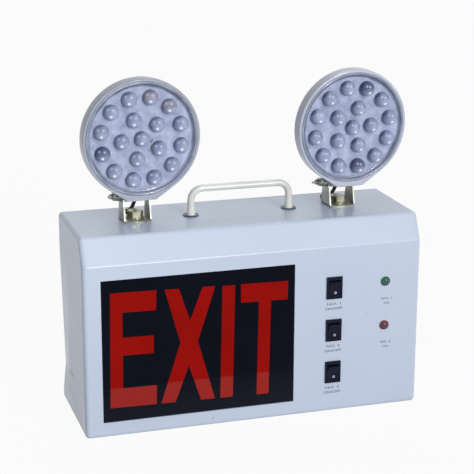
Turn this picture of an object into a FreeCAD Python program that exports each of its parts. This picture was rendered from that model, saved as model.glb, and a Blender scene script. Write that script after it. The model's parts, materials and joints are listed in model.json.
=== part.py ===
import FreeCAD, Part
import math
import os
import re
import Sketcher

# Twin-head emergency exit light: a bent sheet steel box with a lit sign, three rocker
# switches and two indicators on its face, a carrying handle and two round lamp heads on
# top, and a sealed battery, a transformer and a charger board inside.
# Millimetres. +X is the viewer's right, -Y is the face, +Z is up. The origin is the centre
# of the footprint, on the surface that the box stands on.

doc = FreeCAD.newDocument("ExitLight")
sheet = doc.addObject("Spreadsheet::Sheet", "Sizes")

SIZES = [
    # the box
    ("housing_length", 320), ("housing_depth", 105), ("housing_height", 185),
    ("band_height", 24), ("band_run", 12.3), ("sheet_thick", 1.2), ("fold_round", 4),
    # the dent in the left side, deepest at its crease near the rear edge
    ("dent_depth", 2.6), ("dent_reach", 34), ("dent_foot", 10), ("dent_crease", 36), ("dent_top", 150),
    # rear cover and the lips it screws to
    ("cover_thick", 1.2), ("cover_recess", 1), ("cover_side_gap", 3.6), ("cover_gap", 0.8),
    ("cover_corner", 4), ("lip_width", 18), ("lip_height", 13), ("lip_thick", 2),
    ("cover_screw_in", 9), ("cover_screw_up", 7.5), ("cover_screw_radius", 1.75),
    ("cover_screw_length", 8), ("cover_screw_head_radius", 3.6), ("cover_screw_head", 2.4),
    ("cover_screw_clear", 0.25),
    ("keyhole_in", 60), ("keyhole_down", 35), ("keyhole_head_radius", 4.5),
    ("keyhole_slot_radius", 2.2), ("keyhole_drop", 9),
    ("vent_length", 36), ("vent_width", 3), ("vent_pitch", 9), ("vent_count", 6),
    ("vent_in", 68), ("vent_low", 70),
    ("mains_in", 35), ("mains_height", 26), ("mains_hole_radius", 6), ("mains_bore", 4),
    ("mains_lip", 2.5), ("mains_flange", 2.5), ("mains_inner_lip", 1.5), ("mains_inner_flange", 2.5),
    # sign
    ("sign_left", 16), ("control_room", 123.7), ("sign_foot", 14.3), ("sign_head", 13.2),
    ("sign_lap", 2.5), ("sign_thick", 2.5), ("diffuser_thick", 1.5), ("sign_gap", 0.3),
    ("tray_wall", 1), ("tray_depth", 15), ("tray_ear", 7.5), ("tray_ear_in", 20),
    ("stud_radius", 1.5), ("stud_high", 6), ("nut_across", 5.5), ("nut_high", 2.4),
    ("strip_width", 10), ("strip_thick", 1.6), ("strip_rise", 30), ("strip_led", 3),
    ("strip_led_high", 1), ("strip_half_count", 3), ("strip_gap_end", 8),
    # switches
    ("switch_in", 85.4), ("switch_low", 39.7), ("switch_pitch", 41.2),
    ("bezel_width", 15), ("bezel_height", 21), ("bezel_thick", 1.8), ("bezel_round", 1.2),
    ("switch_width", 12.8), ("switch_height", 18.8), ("switch_depth", 13), ("cutout_gap", 0.2),
    ("rocker_width", 10.4), ("rocker_gap", 0.3), ("rocker_radius", 7.9), ("rocker_back", 2),
    ("rocker_valley", 3), ("rocker_angle", 10), ("rocker_nose", 1.2), ("rocker_heel", 0.9), ("rocker_pivot_in", 1.5), ("rocker_pin_radius", 1.4),
    ("rocker_pin_clear", 0.05), ("rocker_pin_reach", 0.6), ("rocker_room", 4.2),
    ("tab_width", 4.8), ("tab_thick", 0.8), ("tab_length", 8), ("tab_pitch", 5.6),
    # indicators
    ("indicator_in", 34.9), ("indicator_high", 124), ("indicator_low", 81),
    ("indicator_radius", 4.5), ("indicator_flange", 1.2), ("indicator_rim", 0.9), ("indicator_dome", 3.4),
    ("indicator_barrel", 3.9), ("indicator_length", 12), ("indicator_clear", 0.1),
    ("indicator_ring", 6), ("indicator_ring_thick", 2.4),
    # handle
    ("handle_x", 1.8), ("handle_y", 5.5), ("handle_span", 94.9), ("handle_radius", 3.3),
    ("handle_foot_radius", 4.1), ("handle_foot_height", 9), ("handle_rise", 25.4), ("handle_bend", 11),
    ("handle_stud_radius", 2.5), ("handle_stud", 10), ("handle_stud_clear", 0.3),
    ("handle_washer_radius", 7.2), ("handle_washer_thick", 1),
    ("handle_nut_across", 8), ("handle_nut_high", 4),
    # lamp brackets
    ("left_lamp_in", 62.2), ("right_lamp_in", 60.2), ("lamp_y", 8),
    ("left_yaw", 2.6), ("right_yaw", 4.2), ("left_tilt", 1.4), ("right_tilt", 3.1),
    ("bracket_width", 26), ("bracket_thick", 1.5), ("bracket_arm_depth", 21), ("bracket_bulge", 4.5),
    ("bracket_arm_top", 6), ("bracket_fold", 2), ("pivot_height", 23),
    ("base_bolt_radius", 4), ("base_bolt_clear", 0.1), ("base_bolt_head", 5.3),
    ("base_bolt_across", 13), ("base_bolt_length", 12), ("base_nut_high", 6.5),
    ("base_washer_radius", 8.5), ("base_washer_thick", 1.6), ("thread_clear", 0.05),
    ("pivot_bolt_radius", 2.5), ("pivot_bolt_clear", 0.08), ("pivot_bolt_head", 3.5),
    ("pivot_bolt_across", 8), ("pivot_bolt_tail", 9.5), ("pivot_washer_radius", 5.5),
    ("pivot_washer_thick", 1),
    ("wing_boss_radius", 5), ("wing_boss_tip", 3.8), ("wing_boss_length", 7), ("wing_reach", 13),
    ("wing_flare", 8.5), ("wing_thick", 2), ("left_wing_turn", -16), ("right_wing_turn", -16),
    # lamp heads
    ("lamp_radius", 54), ("neck_drop", 3.5), ("rim_front", 26), ("rim_back", 15),
    ("rim_round", 1.5), ("flare_half", 13), ("flare_bottom", 1), ("flare_round", 3),
    ("bowl_step", 2), ("bowl_back", 9), ("bowl_back_in", 25), ("bowl_curve", 34), ("bowl_corner", 1.44),
    ("lamp_wall", 2.4), ("neck_width", 22), ("neck_back", 9), ("neck_top", 34), ("boss_radius", 5.8),
    ("rim_wall", 2.6), ("cap_fit", 0.15), ("cap_ring", 4.4), ("cap_face", 1.6), ("cap_proud", 0.6),
    ("board_thick", 1.6), ("board_ledge", 3.5), ("board_depth", 5),
    ("dome_radius", 6.6), ("dome_sink", 0.8), ("outer_ring_in", 13.8), ("inner_ring", 18.5),
    ("outer_count", 12), ("inner_count", 5), ("chip_size", 4), ("chip_high", 1.4),
    ("left_outer_turn", -17.6), ("left_inner_turn", -22.5),
    ("right_outer_turn", -10.6), ("right_inner_turn", 15.3),
    # lamp leads and their grommets
    ("lead_radius", 1.8), ("grommet_y", 25.5), ("grommet_x", -2.5), ("grommet_radius", 5.4),
    ("grommet_hole", 4), ("grommet_high", 2.2), ("grommet_clear", 0.05), ("lead_tail", 12),
    ("lead_bend", 8), ("lead_out", 6), ("lead_x", 2), ("lead_rise", 4.8),
    # battery, strap, transformer, charger board
    ("battery_length", 151), ("battery_width", 65), ("battery_height", 94), ("battery_in", 98),
    ("battery_y", 12), ("battery_round", 3), ("terminal_width", 6.4), ("terminal_high", 6),
    ("terminal_in", 12), ("terminal_thick", 0.8),
    ("strap_width", 22), ("strap_thick", 1.2), ("strap_clear", 0.5), ("strap_foot", 14),
    ("floor_stud_radius", 2), ("floor_stud_high", 8), ("floor_nut_across", 7), ("floor_nut_high", 3.2),
    ("core_length", 48), ("core_width", 26), ("core_height", 40), ("core_leg", 8), ("core_in", 60),
    ("core_y", 14), ("core_foot", 11), ("core_foot_thick", 2), ("coil_width", 42), ("coil_gap", 0.3),
    ("pcb_length", 96), ("pcb_height", 54), ("pcb_thick", 1.6), ("pcb_x", -20), ("pcb_low", 112),
    ("spacer_radius", 3), ("spacer_length", 8), ("pcb_hole_in", 5), ("pcb_screw_radius", 1.5),
    ("pcb_screw_head", 2), ("pcb_screw_tail", 2),
    ("relay_length", 19), ("relay_height", 16), ("relay_deep", 15), ("relay_x", -24.5), ("relay_up", 20),
    ("sink_length", 24), ("sink_height", 8), ("sink_deep", 12), ("sink_x", 24), ("sink_up", 38),
    ("can_radius", 6.3), ("can_deep", 16), ("can_x", 10), ("can_half_pitch", 8), ("can_up", 18),
    # how far a cutting tool runs past the face that it enters or leaves
    ("cut_over", 1),
]
for row, (alias, value) in enumerate(SIZES, start=1):
    sheet.set(f"A{row}", alias.replace("_", " "))
    sheet.set(f"B{row}", str(value))
    sheet.setAlias(f"B{row}", alias)
doc.recompute()
ALIASES = {alias for alias, value in SIZES}
pieces = {}


def rule(text):
    """An expression in which the bare names are cells of the sheet."""
    text = str(text)
    return re.sub(r"[a-z_]+", lambda word: "Sizes." + word[0] if word[0] in ALIASES else word[0], text)


def size(text):
    """The present value of an expression."""
    value = sheet.evalExpression(rule(text))
    return float(getattr(value, "Value", value))


def bind(thing, **values):
    """Tie properties of an object to expressions."""
    for name, text in values.items():
        thing.setExpression(name.replace("__", "."), rule(text))


def pose(x="0", y="0", z="0", turn="0", lean="0"):
    """A place: a shift, then a turn about the vertical and a lean about X."""
    return (f"create(<<placement>>; create(<<vector>>; {x}; {y}; {z}); "
            f"create(<<rotation>>; {turn}; 0; {lean}))")


def keep(name, thing, where=None):
    """Make an object a sub-part of the model under its own label."""
    thing.Label = name
    if where:
        bind(thing, Placement=where)
    pieces[name] = thing
    return thing


NEAR = 0.01    # two places closer than this count as one


# --- sketches and features of a body -------------------------------------------------

def new_body(name, where=None):
    return keep(name, doc.addObject("PartDesign::Body", "Body_" + name), where)


def plane(body, role):
    return next(item for item in body.Origin.OriginFeatures if item.Role == role)


def sketch_on(body, role, out="0", across="0", up="0"):
    """A sketch on an origin plane, its own origin shifted out of and along that plane."""
    sketch = body.newObject("Sketcher::SketchObject", "Sketch")
    sketch.AttachmentSupport = (plane(body, role), [""])
    sketch.MapMode = "FlatFace"
    bind(sketch, AttachmentOffset__Base__z=out, AttachmentOffset__Base__x=across,
         AttachmentOffset__Base__y=up)
    return sketch


def fix_point(sketch, line, end, x, y):
    """Tie one end of a line to a place in the sketch."""
    for kind, text in (("DistanceX", x), ("DistanceY", y)):
        number = sketch.addConstraint(Sketcher.Constraint(kind, -1, 1, line, end, size(text)))
        sketch.setExpression(f"Constraints[{number}]", rule(text))


def fix_value(sketch, kind, line, text):
    number = sketch.addConstraint(Sketcher.Constraint(kind, line, size(text)))
    sketch.setExpression(f"Constraints[{number}]", rule(text))


def outline(sketch, corners, closed=True):
    """An outline. A third value on a corner bends the side after it: a positive
    radius bulges to the right of the way round, a negative one to the left."""
    spots = [FreeCAD.Vector(size(c[0]), size(c[1]), 0) for c in corners]
    first = sketch.GeometryCount
    ends = []
    sides = corners if closed else corners[:-1]
    for index, corner in enumerate(sides):
        here, there = spots[index], spots[(index + 1) % len(spots)]
        if len(corner) == 2:
            sketch.addGeometry(Part.LineSegment(here, there))
            ends.append((1, 2))
            continue
        radius = size(corner[2])
        chord = there - here
        side = FreeCAD.Vector(-chord.y, chord.x, 0).normalize()
        rise = math.sqrt(max(radius ** 2 - chord.Length ** 2 / 4, 0))
        centre = (here + there) * 0.5 + side * math.copysign(rise, radius)
        start, stop = (here, there) if radius > 0 else (there, here)
        angles = [math.atan2(p.y - centre.y, p.x - centre.x) for p in (start, stop)]
        circle = Part.Circle(centre, FreeCAD.Vector(0, 0, 1), abs(radius))
        sketch.addGeometry(Part.ArcOfCircle(circle, *angles))
        ends.append((1, 2) if radius > 0 else (2, 1))
    for index in range(len(corners) if closed else len(sides) - 1):
        after = (index + 1) % len(corners)
        sketch.addConstraint(Sketcher.Constraint(
            "Coincident", first + index, ends[index][1], first + after, ends[after][0]))
    for index, corner in enumerate(sides):
        fix_point(sketch, first + index, ends[index][0], corner[0], corner[1])
        if len(corner) == 3:
            fix_value(sketch, "Radius", first + index, f"abs({corner[2]})")
    if not closed:
        fix_point(sketch, first + len(sides) - 1, ends[-1][1], corners[-1][0], corners[-1][1])


def rectangle(sketch, x0, x1, y0, y1):
    outline(sketch, [(x0, y0), (x1, y0), (x1, y1), (x0, y1)])


def ring(sketch, x, y, radius):
    line = sketch.addGeometry(Part.Circle(FreeCAD.Vector(size(x), size(y), 0),
                                          FreeCAD.Vector(0, 0, 1), size(radius)))
    fix_point(sketch, line, 3, x, y)
    fix_value(sketch, "Radius", line, radius)


def feature(body, kind, sketch=None, **values):
    made = body.newObject("PartDesign::" + kind, kind)
    if sketch:
        made.Profile = sketch
    bind(made, **values)
    return made


def pad(body, sketch, length, both_ways=False):
    made = feature(body, "Pad", sketch, Length=length)
    made.SideType = "Symmetric" if both_ways else "One side"
    doc.recompute()
    return made


def pocket(body, sketch, length, both_ways=False):
    """A cut from a sketch, away from the side that its plane faces."""
    before = body.Shape.Volume
    made = feature(body, "Pocket", sketch, Length=length)
    made.SideType = "Symmetric" if both_ways else "One side"
    doc.recompute()
    if made.Shape.Volume > before - 1e-6:
        raise RuntimeError(f"a pocket of {body.Label} cuts nothing")
    return made


def turned(body, sketch, kind="Revolution", axis="H_Axis"):
    made = feature(body, kind, sketch)
    made.ReferenceAxis = (sketch, [axis])
    made.Angle = 360
    doc.recompute()
    return made


def edges_where(shape, test):
    """The names of the edges of a shape that pass a test on their bounding box."""
    return [f"Edge{number}" for number, edge in enumerate(shape.Edges, start=1) if test(edge.BoundBox)]


def rounded(body, base, names, radius):
    made = body.newObject("PartDesign::Fillet", "Fillet")
    made.Base = (base, names)
    bind(made, Radius=radius)
    doc.recompute()
    return made


def circled(body, original, sketch, count):
    """Copies of a feature in a ring round the sketch's own normal."""
    made = body.newObject("PartDesign::PolarPattern", "Ring")
    made.Originals = [original]
    made.Axis = (sketch, ["N_Axis"])
    made.Angle = 360
    bind(made, Occurrences=count)
    body.Tip = made
    doc.recompute()
    return made


# --- plain solids ---------------------------------------------------------------------

def box(x0, x1, y0, y1, z0, z1):
    made = doc.addObject("Part::Box", "Box")
    bind(made, Length=f"({x1}) - ({x0})", Width=f"({y1}) - ({y0})", Height=f"({z1}) - ({z0})",
         Placement__Base__x=x0, Placement__Base__y=y0, Placement__Base__z=z0)
    return made


TURNS = {"X": (0, 90, 0), "Y": (0, 0, -90), "Z": (0, 0, 0)}


def stand(made, x, y, z, along):
    """Put a turned solid with its foot at a point and its axis along X, Y or Z."""
    yaw, pitch, roll = TURNS[along]
    bind(made, Placement=f"create(<<placement>>; create(<<vector>>; {x}; {y}; {z}); "
                         f"create(<<rotation>>; {yaw}; {pitch}; {roll}))")
    return made


def rod(radius, length, x="0", y="0", z="0", along="Z"):
    made = doc.addObject("Part::Cylinder", "Rod")
    bind(made, Radius=radius, Height=length)
    return stand(made, x, y, z, along)


def taper(low_radius, top_radius, length, x="0", y="0", z="0", along="Z"):
    made = doc.addObject("Part::Cone", "Taper")
    bind(made, Radius1=low_radius, Radius2=top_radius, Height=length)
    return stand(made, x, y, z, along)


def hexagon(across, length, x="0", y="0", z="0", along="Z"):
    made = doc.addObject("Part::Prism", "Hexagon")
    made.Polygon = 6
    bind(made, Circumradius=f"({across}) / 2 / cos(30)", Height=length)
    return stand(made, x, y, z, along)


def join(*things):
    made = doc.addObject("Part::MultiFuse", "Join")
    made.Shapes = list(things)
    made.Refine = True
    return made


def less(base, *tools):
    made = doc.addObject("Part::Cut", "Less")
    made.Base = base
    made.Tool = tools[0] if len(tools) == 1 else join(*tools)
    return made


def drilled(thing, radius, deep, x="0", y="0", z="0", along="Z"):
    """A thing with a hole from a point, right through a depth and a little past both ends."""
    foot = {"X": x, "Y": y, "Z": z}
    foot[along] = f"{foot[along]} - cut_over"
    return less(thing, rod(radius, f"{deep} + 2 * cut_over", *foot.values(), along))


def group(*things):
    """Separate solids that share one node."""
    made = doc.addObject("Part::Compound", "Group")
    made.Links = list(things)
    return made


# --- places that several pieces share ---------------------------------------------------

FACE = "-housing_depth / 2"
REAR = "housing_depth / 2"
INSIDE_FACE = f"{FACE} + sheet_thick"
TOP = "housing_height"
INSIDE_TOP = "(housing_height - sheet_thick)"
COVER_FRONT = f"({REAR} - cover_recess - cover_thick)"
SWITCH_X = "(housing_length / 2 - switch_in)"
SWITCHES = [f"(switch_low + {number} * switch_pitch)" for number in range(3)]
INDICATOR_X = "(housing_length / 2 - indicator_in)"
INDICATORS = {"green_indicator": "indicator_high", "red_indicator": "indicator_low"}
LAMPS = {"left": "(left_lamp_in - housing_length / 2)", "right": "(housing_length / 2 - right_lamp_in)"}
HANDLE_FEET = ["(handle_x - handle_span / 2)", "(handle_x + handle_span / 2)"]
MAINS_X = "(housing_length / 2 - mains_in)"
COVER_SCREWS = [(f"{side} * (housing_length / 2 - sheet_thick - cover_screw_in - cover_side_gap)", height)
                for side in (-1, 1)
                for height in ("(sheet_thick + cover_screw_up)", f"({INSIDE_TOP} - cover_screw_up)")]
SIGN_X = "((sign_left - control_room) / 2)"
WINDOW_HALF = "((housing_length - sign_left - control_room) / 2)"
WINDOW_HIGH = "((housing_height - band_height - sign_foot - sign_head) / 2)"
SIGN_Z = f"(sign_foot + {WINDOW_HIGH})"
PANEL_HALF, PANEL_HIGH = f"({WINDOW_HALF} + sign_lap)", f"({WINDOW_HIGH} + sign_lap)"
TRAY_HALF, TRAY_HIGH = (f"({reach} + sign_gap + tray_wall)" for reach in (PANEL_HALF, PANEL_HIGH))
TRAY_STUDS = [(f"({SIGN_X} + {side} * ({TRAY_HALF} + tray_ear / 2))",
               f"({SIGN_Z} + {rise} * {WINDOW_HIGH} / 2)") for side in (-1, 1) for rise in (-1, 1)]
BATTERY_X = "(battery_in - housing_length / 2)"
CORE_X = "(housing_length / 2 - core_in)"
STRAP_STUDS = [(f"({BATTERY_X} + {side} * (battery_length / 2 + strap_clear + strap_foot / 2))", "battery_y")
               for side in (-1, 1)]
CORE_STUDS = [(f"({CORE_X} + {side} * (core_length / 2 + core_foot / 2))", "core_y") for side in (-1, 1)]
FLOOR_STUDS = STRAP_STUDS + CORE_STUDS
RISE = "(lamp_radius + neck_drop)"
BOWL = "(lamp_radius - bowl_step)"
CAP = "(lamp_radius - rim_wall)"
RINGS = {"outer": f"({CAP} - outer_ring_in)", "inner": "inner_ring"}
PCB_HOLES = [(f"(pcb_x + {side} * (pcb_length / 2 - pcb_hole_in))", f"(pcb_low + {height})")
             for side in (-1, 1) for height in ("pcb_hole_in", "(pcb_height - pcb_hole_in)")]


def base_pose(side):
    return pose(LAMPS[side], "lamp_y", TOP, f"{side}_yaw")


def pivot_pose(side, x="0", lean="0"):
    return f"{base_pose(side)} * {pose(x, z='pivot_height', lean=lean)}"


# --- housing ------------------------------------------------------------------------------

def box_form(body, inset, rear):
    """The rounded form of the box, drawn in all round by an inset and square at the rear."""
    slope = "atan(band_run / band_height)"
    face, top = f"({FACE} + {inset})", f"({TOP} - {inset})"
    profile = sketch_on(body, "YZ_Plane")
    outline(profile, [(face, inset), (rear, inset), (rear, top),
                      (f"{FACE} + band_run + {inset} * tan(45 deg - {slope} / 2)", top),
                      (face, f"housing_height - band_height - {inset} * tan({slope} / 2)")])
    block = pad(body, profile, f"housing_length - 2 * {inset}", both_ways=True)
    back = size(rear) - NEAR
    folds = edges_where(block.Shape, lambda b: b.YMin < back)
    return rounded(body, block, folds, f"fold_round - {inset}")


def make_front_cover():
    """Face, sloped band, top, floor and sides: one folded and welded sheet steel shell."""
    body = new_body("front_cover")
    box_form(body, "0", REAR)
    room = doc.addObject("PartDesign::Body", "Body_room")
    box_form(room, "sheet_thick", f"{REAR} + cut_over")
    hollow = body.newObject("PartDesign::Boolean", "Hollow")
    hollow.Type = "Cut"
    hollow.Group = [room]
    doc.recompute()

    # the dent: the side wall pushed in towards its rear edge, with a crease where it turns back
    wall = sketch_on(body, "XY_Plane", out="dent_top")
    left = "(-housing_length / 2)"
    rectangle(wall, f"{left} - cut_over", f"{left} + sheet_thick", f"{REAR} - dent_reach",
              f"{REAR} + cut_over")
    pocket(body, wall, "dent_top - dent_foot")
    levels = [("dent_foot", "0"), ("dent_foot + 0.5 * (dent_crease - dent_foot)", "0.42 * dent_depth"),
              ("dent_crease", "dent_depth"), ("dent_crease + 0.3 * (dent_top - dent_crease)",
                                              "0.72 * dent_depth"), ("dent_top", "0")]
    sections = []
    for height, push in levels:
        section = sketch_on(body, "XY_Plane", out=height)
        outline(section, [(left, f"{REAR} - dent_reach"),
                          (f"{left} + sheet_thick", f"{REAR} - dent_reach"),
                          (f"{left} + sheet_thick + {push}", REAR), (f"{left} + {push}", REAR)])
        sections.append(section)
    dent = body.newObject("PartDesign::AdditiveLoft", "Dent")
    dent.Profile = sections[0]
    dent.Sections = sections[1:]
    dent.Ruled = True
    doc.recompute()

    # openings in the face: sign window, switch cut-outs and indicator holes
    face = sketch_on(body, "XZ_Plane", out="housing_depth / 2 + cut_over")
    rectangle(face, f"{SIGN_X} - {WINDOW_HALF}", f"{SIGN_X} + {WINDOW_HALF}",
              f"{SIGN_Z} - {WINDOW_HIGH}", f"{SIGN_Z} + {WINDOW_HIGH}")
    half_wide, half_high = "(switch_width / 2 + cutout_gap)", "(switch_height / 2 + cutout_gap)"
    for height in SWITCHES:
        rectangle(face, f"{SWITCH_X} - {half_wide}", f"{SWITCH_X} + {half_wide}",
                  f"{height} - {half_high}", f"{height} + {half_high}")
    for height in INDICATORS.values():
        ring(face, INDICATOR_X, height, "indicator_barrel + indicator_clear")
    pocket(body, face, "sheet_thick + 2 * cut_over")

    # holes in the top: lamp bolts, lead grommets and handle studs
    top = sketch_on(body, "XY_Plane", out="housing_height + cut_over")
    for x in LAMPS.values():
        ring(top, x, "lamp_y", "base_bolt_radius + base_bolt_clear")
        ring(top, f"{x} + grommet_x", "lamp_y + grommet_y", "grommet_hole")
    for x in HANDLE_FEET:
        ring(top, x, "handle_y", "handle_stud_radius + handle_stud_clear")
    pocket(body, top, "sheet_thick + 2 * cut_over")

    # lips that take the cover's screws, welded to the floor and under the top
    lips = sketch_on(body, "XZ_Plane", out=f"-({COVER_FRONT} - lip_thick)")
    spans = {COVER_SCREWS[0][1]: ("sheet_thick / 2", "sheet_thick + lip_height"),
             COVER_SCREWS[1][1]: (f"{INSIDE_TOP} - lip_height", f"{TOP} - sheet_thick / 2")}
    for x, height in COVER_SCREWS:
        rectangle(lips, f"{x} - lip_width / 2", f"{x} + lip_width / 2", *spans[height])
    made = feature(body, "Pad", lips, Length="lip_thick")
    made.Reversed = True
    doc.recompute()
    holes = sketch_on(body, "XZ_Plane", out=f"-({COVER_FRONT} - lip_thick - cut_over)")
    for x, height in COVER_SCREWS:
        ring(holes, x, height, "cover_screw_radius")
    pocket(body, holes, "lip_thick + 2 * cut_over")

    # weld studs on the floor and behind the face
    floor = sketch_on(body, "XY_Plane", out="sheet_thick / 2")
    for x, y in FLOOR_STUDS:
        ring(floor, x, y, "floor_stud_radius")
    pad(body, floor, "floor_stud_high")
    studs = sketch_on(body, "XZ_Plane", out=f"-({INSIDE_FACE} - sheet_thick / 2)")
    for x, height in TRAY_STUDS:
        ring(studs, x, height, "stud_radius")
    made = feature(body, "Pad", studs, Length="stud_high")
    made.Reversed = True
    doc.recompute()
    return body


def make_rear_cover():
    """The flat cover that closes the back, with keyholes to hang the box on a wall."""
    body = new_body("rear_cover")
    half = "(housing_length / 2 - sheet_thick - cover_side_gap)"
    sheet_back = sketch_on(body, "XZ_Plane", out=f"-({REAR} - cover_recess)")
    rectangle(sheet_back, f"-{half}", half, "sheet_thick + cover_gap", f"{INSIDE_TOP} - cover_gap")
    plate = pad(body, sheet_back, "cover_thick")
    corner = edges_where(plate.Shape, lambda b: b.YLength > size("cover_thick") - NEAR)
    rounded(body, plate, corner, "cover_corner")

    cuts = sketch_on(body, "XZ_Plane", out=f"-({COVER_FRONT} - cut_over)")
    for x, height in COVER_SCREWS:
        ring(cuts, x, height, "cover_screw_radius + cover_screw_clear")
    ring(cuts, MAINS_X, "mains_height", "mains_hole_radius")
    for x, height in PCB_HOLES:
        ring(cuts, x, height, "pcb_screw_radius")
    for number in range(int(size("vent_count"))):
        height = f"(vent_low + {number} * vent_pitch)"
        middle = "(housing_length / 2 - vent_in)"
        rectangle(cuts, f"{middle} - vent_length / 2", f"{middle} + vent_length / 2",
                  f"{height} - vent_width / 2", f"{height} + vent_width / 2")
    # the width of the slot meets the round of the keyhole a little above its centre
    centre = "(housing_height - keyhole_down)"
    meet = f"{centre} + sqrt(keyhole_head_radius ^ 2 - keyhole_slot_radius ^ 2)"
    for side in (-1, 1):
        middle = f"({side} * (housing_length / 2 - keyhole_in))"
        slot_top = f"({centre} + keyhole_drop)"
        outline(cuts, [(f"{middle} + keyhole_slot_radius", meet),
                       (f"{middle} + keyhole_slot_radius", slot_top, "keyhole_slot_radius"),
                       (middle, f"{slot_top} + keyhole_slot_radius", "keyhole_slot_radius"),
                       (f"{middle} - keyhole_slot_radius", slot_top),
                       (f"{middle} - keyhole_slot_radius", meet, "keyhole_head_radius"),
                       (middle, f"{centre} - keyhole_head_radius", "keyhole_head_radius")])
    pocket(body, cuts, "cover_thick + 2 * cut_over")
    return body


def make_cover_screws():
    screws = []
    for x, height in COVER_SCREWS:
        back = f"{REAR} - cover_recess"
        shank = rod("cover_screw_radius", "cover_screw_length", x, f"{back} - cover_screw_length", height, "Y")
        head = taper("cover_screw_head_radius", "cover_screw_head_radius * 0.7", "cover_screw_head",
                     x, back, height, "Y")
        screws.append(join(shank, head))
    keep("cover_screws", group(*screws))


def make_mains_grommet():
    """The rubber ring that the supply lead passes through."""
    back, front = f"({REAR} - cover_recess)", COVER_FRONT
    inside = f"{front} - mains_inner_flange"
    long = "mains_inner_flange + cover_thick + mains_flange"
    barrel = rod("mains_hole_radius", long, MAINS_X, inside, "mains_height", "Y")
    flange = rod("mains_hole_radius + mains_lip", "mains_flange", MAINS_X, back, "mains_height", "Y")
    inner = rod("mains_hole_radius + mains_inner_lip", "mains_inner_flange", MAINS_X, inside,
                "mains_height", "Y")
    keep("mains_grommet", drilled(join(barrel, flange, inner), "mains_bore", long, MAINS_X, inside,
                                  "mains_height", "Y"))


# --- sign -----------------------------------------------------------------------------------

def make_sign():
    panel_back = f"({INSIDE_FACE} + sign_thick)"
    span = (f"{SIGN_X} - {PANEL_HALF}", f"{SIGN_X} + {PANEL_HALF}")
    rise = (f"{SIGN_Z} - {PANEL_HIGH}", f"{SIGN_Z} + {PANEL_HIGH}")
    keep("sign_panel", box(*span, INSIDE_FACE, panel_back, *rise))
    keep("sign_diffuser", box(*span, panel_back, f"{panel_back} + diffuser_thick", *rise))

    # a folded tray round the panel, open to the front, with ears that its nuts hold
    body = new_body("sign_tray")
    front = f"-({INSIDE_FACE})"

    def inward(half, high, out, kind, length):
        """A block or a cut behind the face, of a rectangle about the sign's centre."""
        sketch = sketch_on(body, "XZ_Plane", out=out)
        rectangle(sketch, f"{SIGN_X} - {half}", f"{SIGN_X} + {half}", f"{SIGN_Z} - {high}",
                  f"{SIGN_Z} + {high}")
        made = feature(body, kind, sketch, Length=length)
        made.Reversed = kind == "Pad"
        doc.recompute()

    inward(TRAY_HALF, TRAY_HIGH, front, "Pad", "tray_depth")
    inward(f"({TRAY_HALF} + tray_ear)", f"({TRAY_HIGH} - tray_ear_in)", front, "Pad", "tray_wall")
    inward(f"({TRAY_HALF} - tray_wall)", f"({TRAY_HIGH} - tray_wall)", f"{front} + cut_over", "Pocket",
           "tray_depth - tray_wall + cut_over")
    holes = sketch_on(body, "XZ_Plane", out=f"{front} + cut_over")
    for x, height in TRAY_STUDS:
        ring(holes, x, height, "stud_radius + thread_clear")
    pocket(body, holes, "tray_wall + 2 * cut_over")

    floor = f"({INSIDE_FACE} + tray_depth - tray_wall)"
    end = f"({PANEL_HALF} - strip_gap_end)"
    last = int(size("strip_half_count"))
    strips = []
    for side in (-1, 1):
        height = f"({SIGN_Z} + {side} * strip_rise)"
        bars = [box(f"{SIGN_X} - {end}", f"{SIGN_X} + {end}", f"{floor} - strip_thick", floor,
                    f"{height} - strip_width / 2", f"{height} + strip_width / 2")]
        for number in range(-last, last + 1):
            x = f"({SIGN_X} + {number} * ({end} - strip_led) / strip_half_count)"
            bars.append(box(f"{x} - strip_led / 2", f"{x} + strip_led / 2",
                            f"{floor} - strip_thick - strip_led_high", f"{floor} - strip_thick",
                            f"{height} - strip_led / 2", f"{height} + strip_led / 2"))
        strips.append(join(*bars))
    keep("sign_led_strips", group(*strips))
    nuts = []
    for x, height in TRAY_STUDS:
        place = (x, f"{INSIDE_FACE} + tray_wall", height, "Y")
        nuts.append(drilled(hexagon("nut_across", "nut_high", *place), "stud_radius + thread_clear",
                            "nut_high", *place))
    keep("sign_nuts", group(*nuts))


# --- switches and indicators --------------------------------------------------------------

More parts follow.
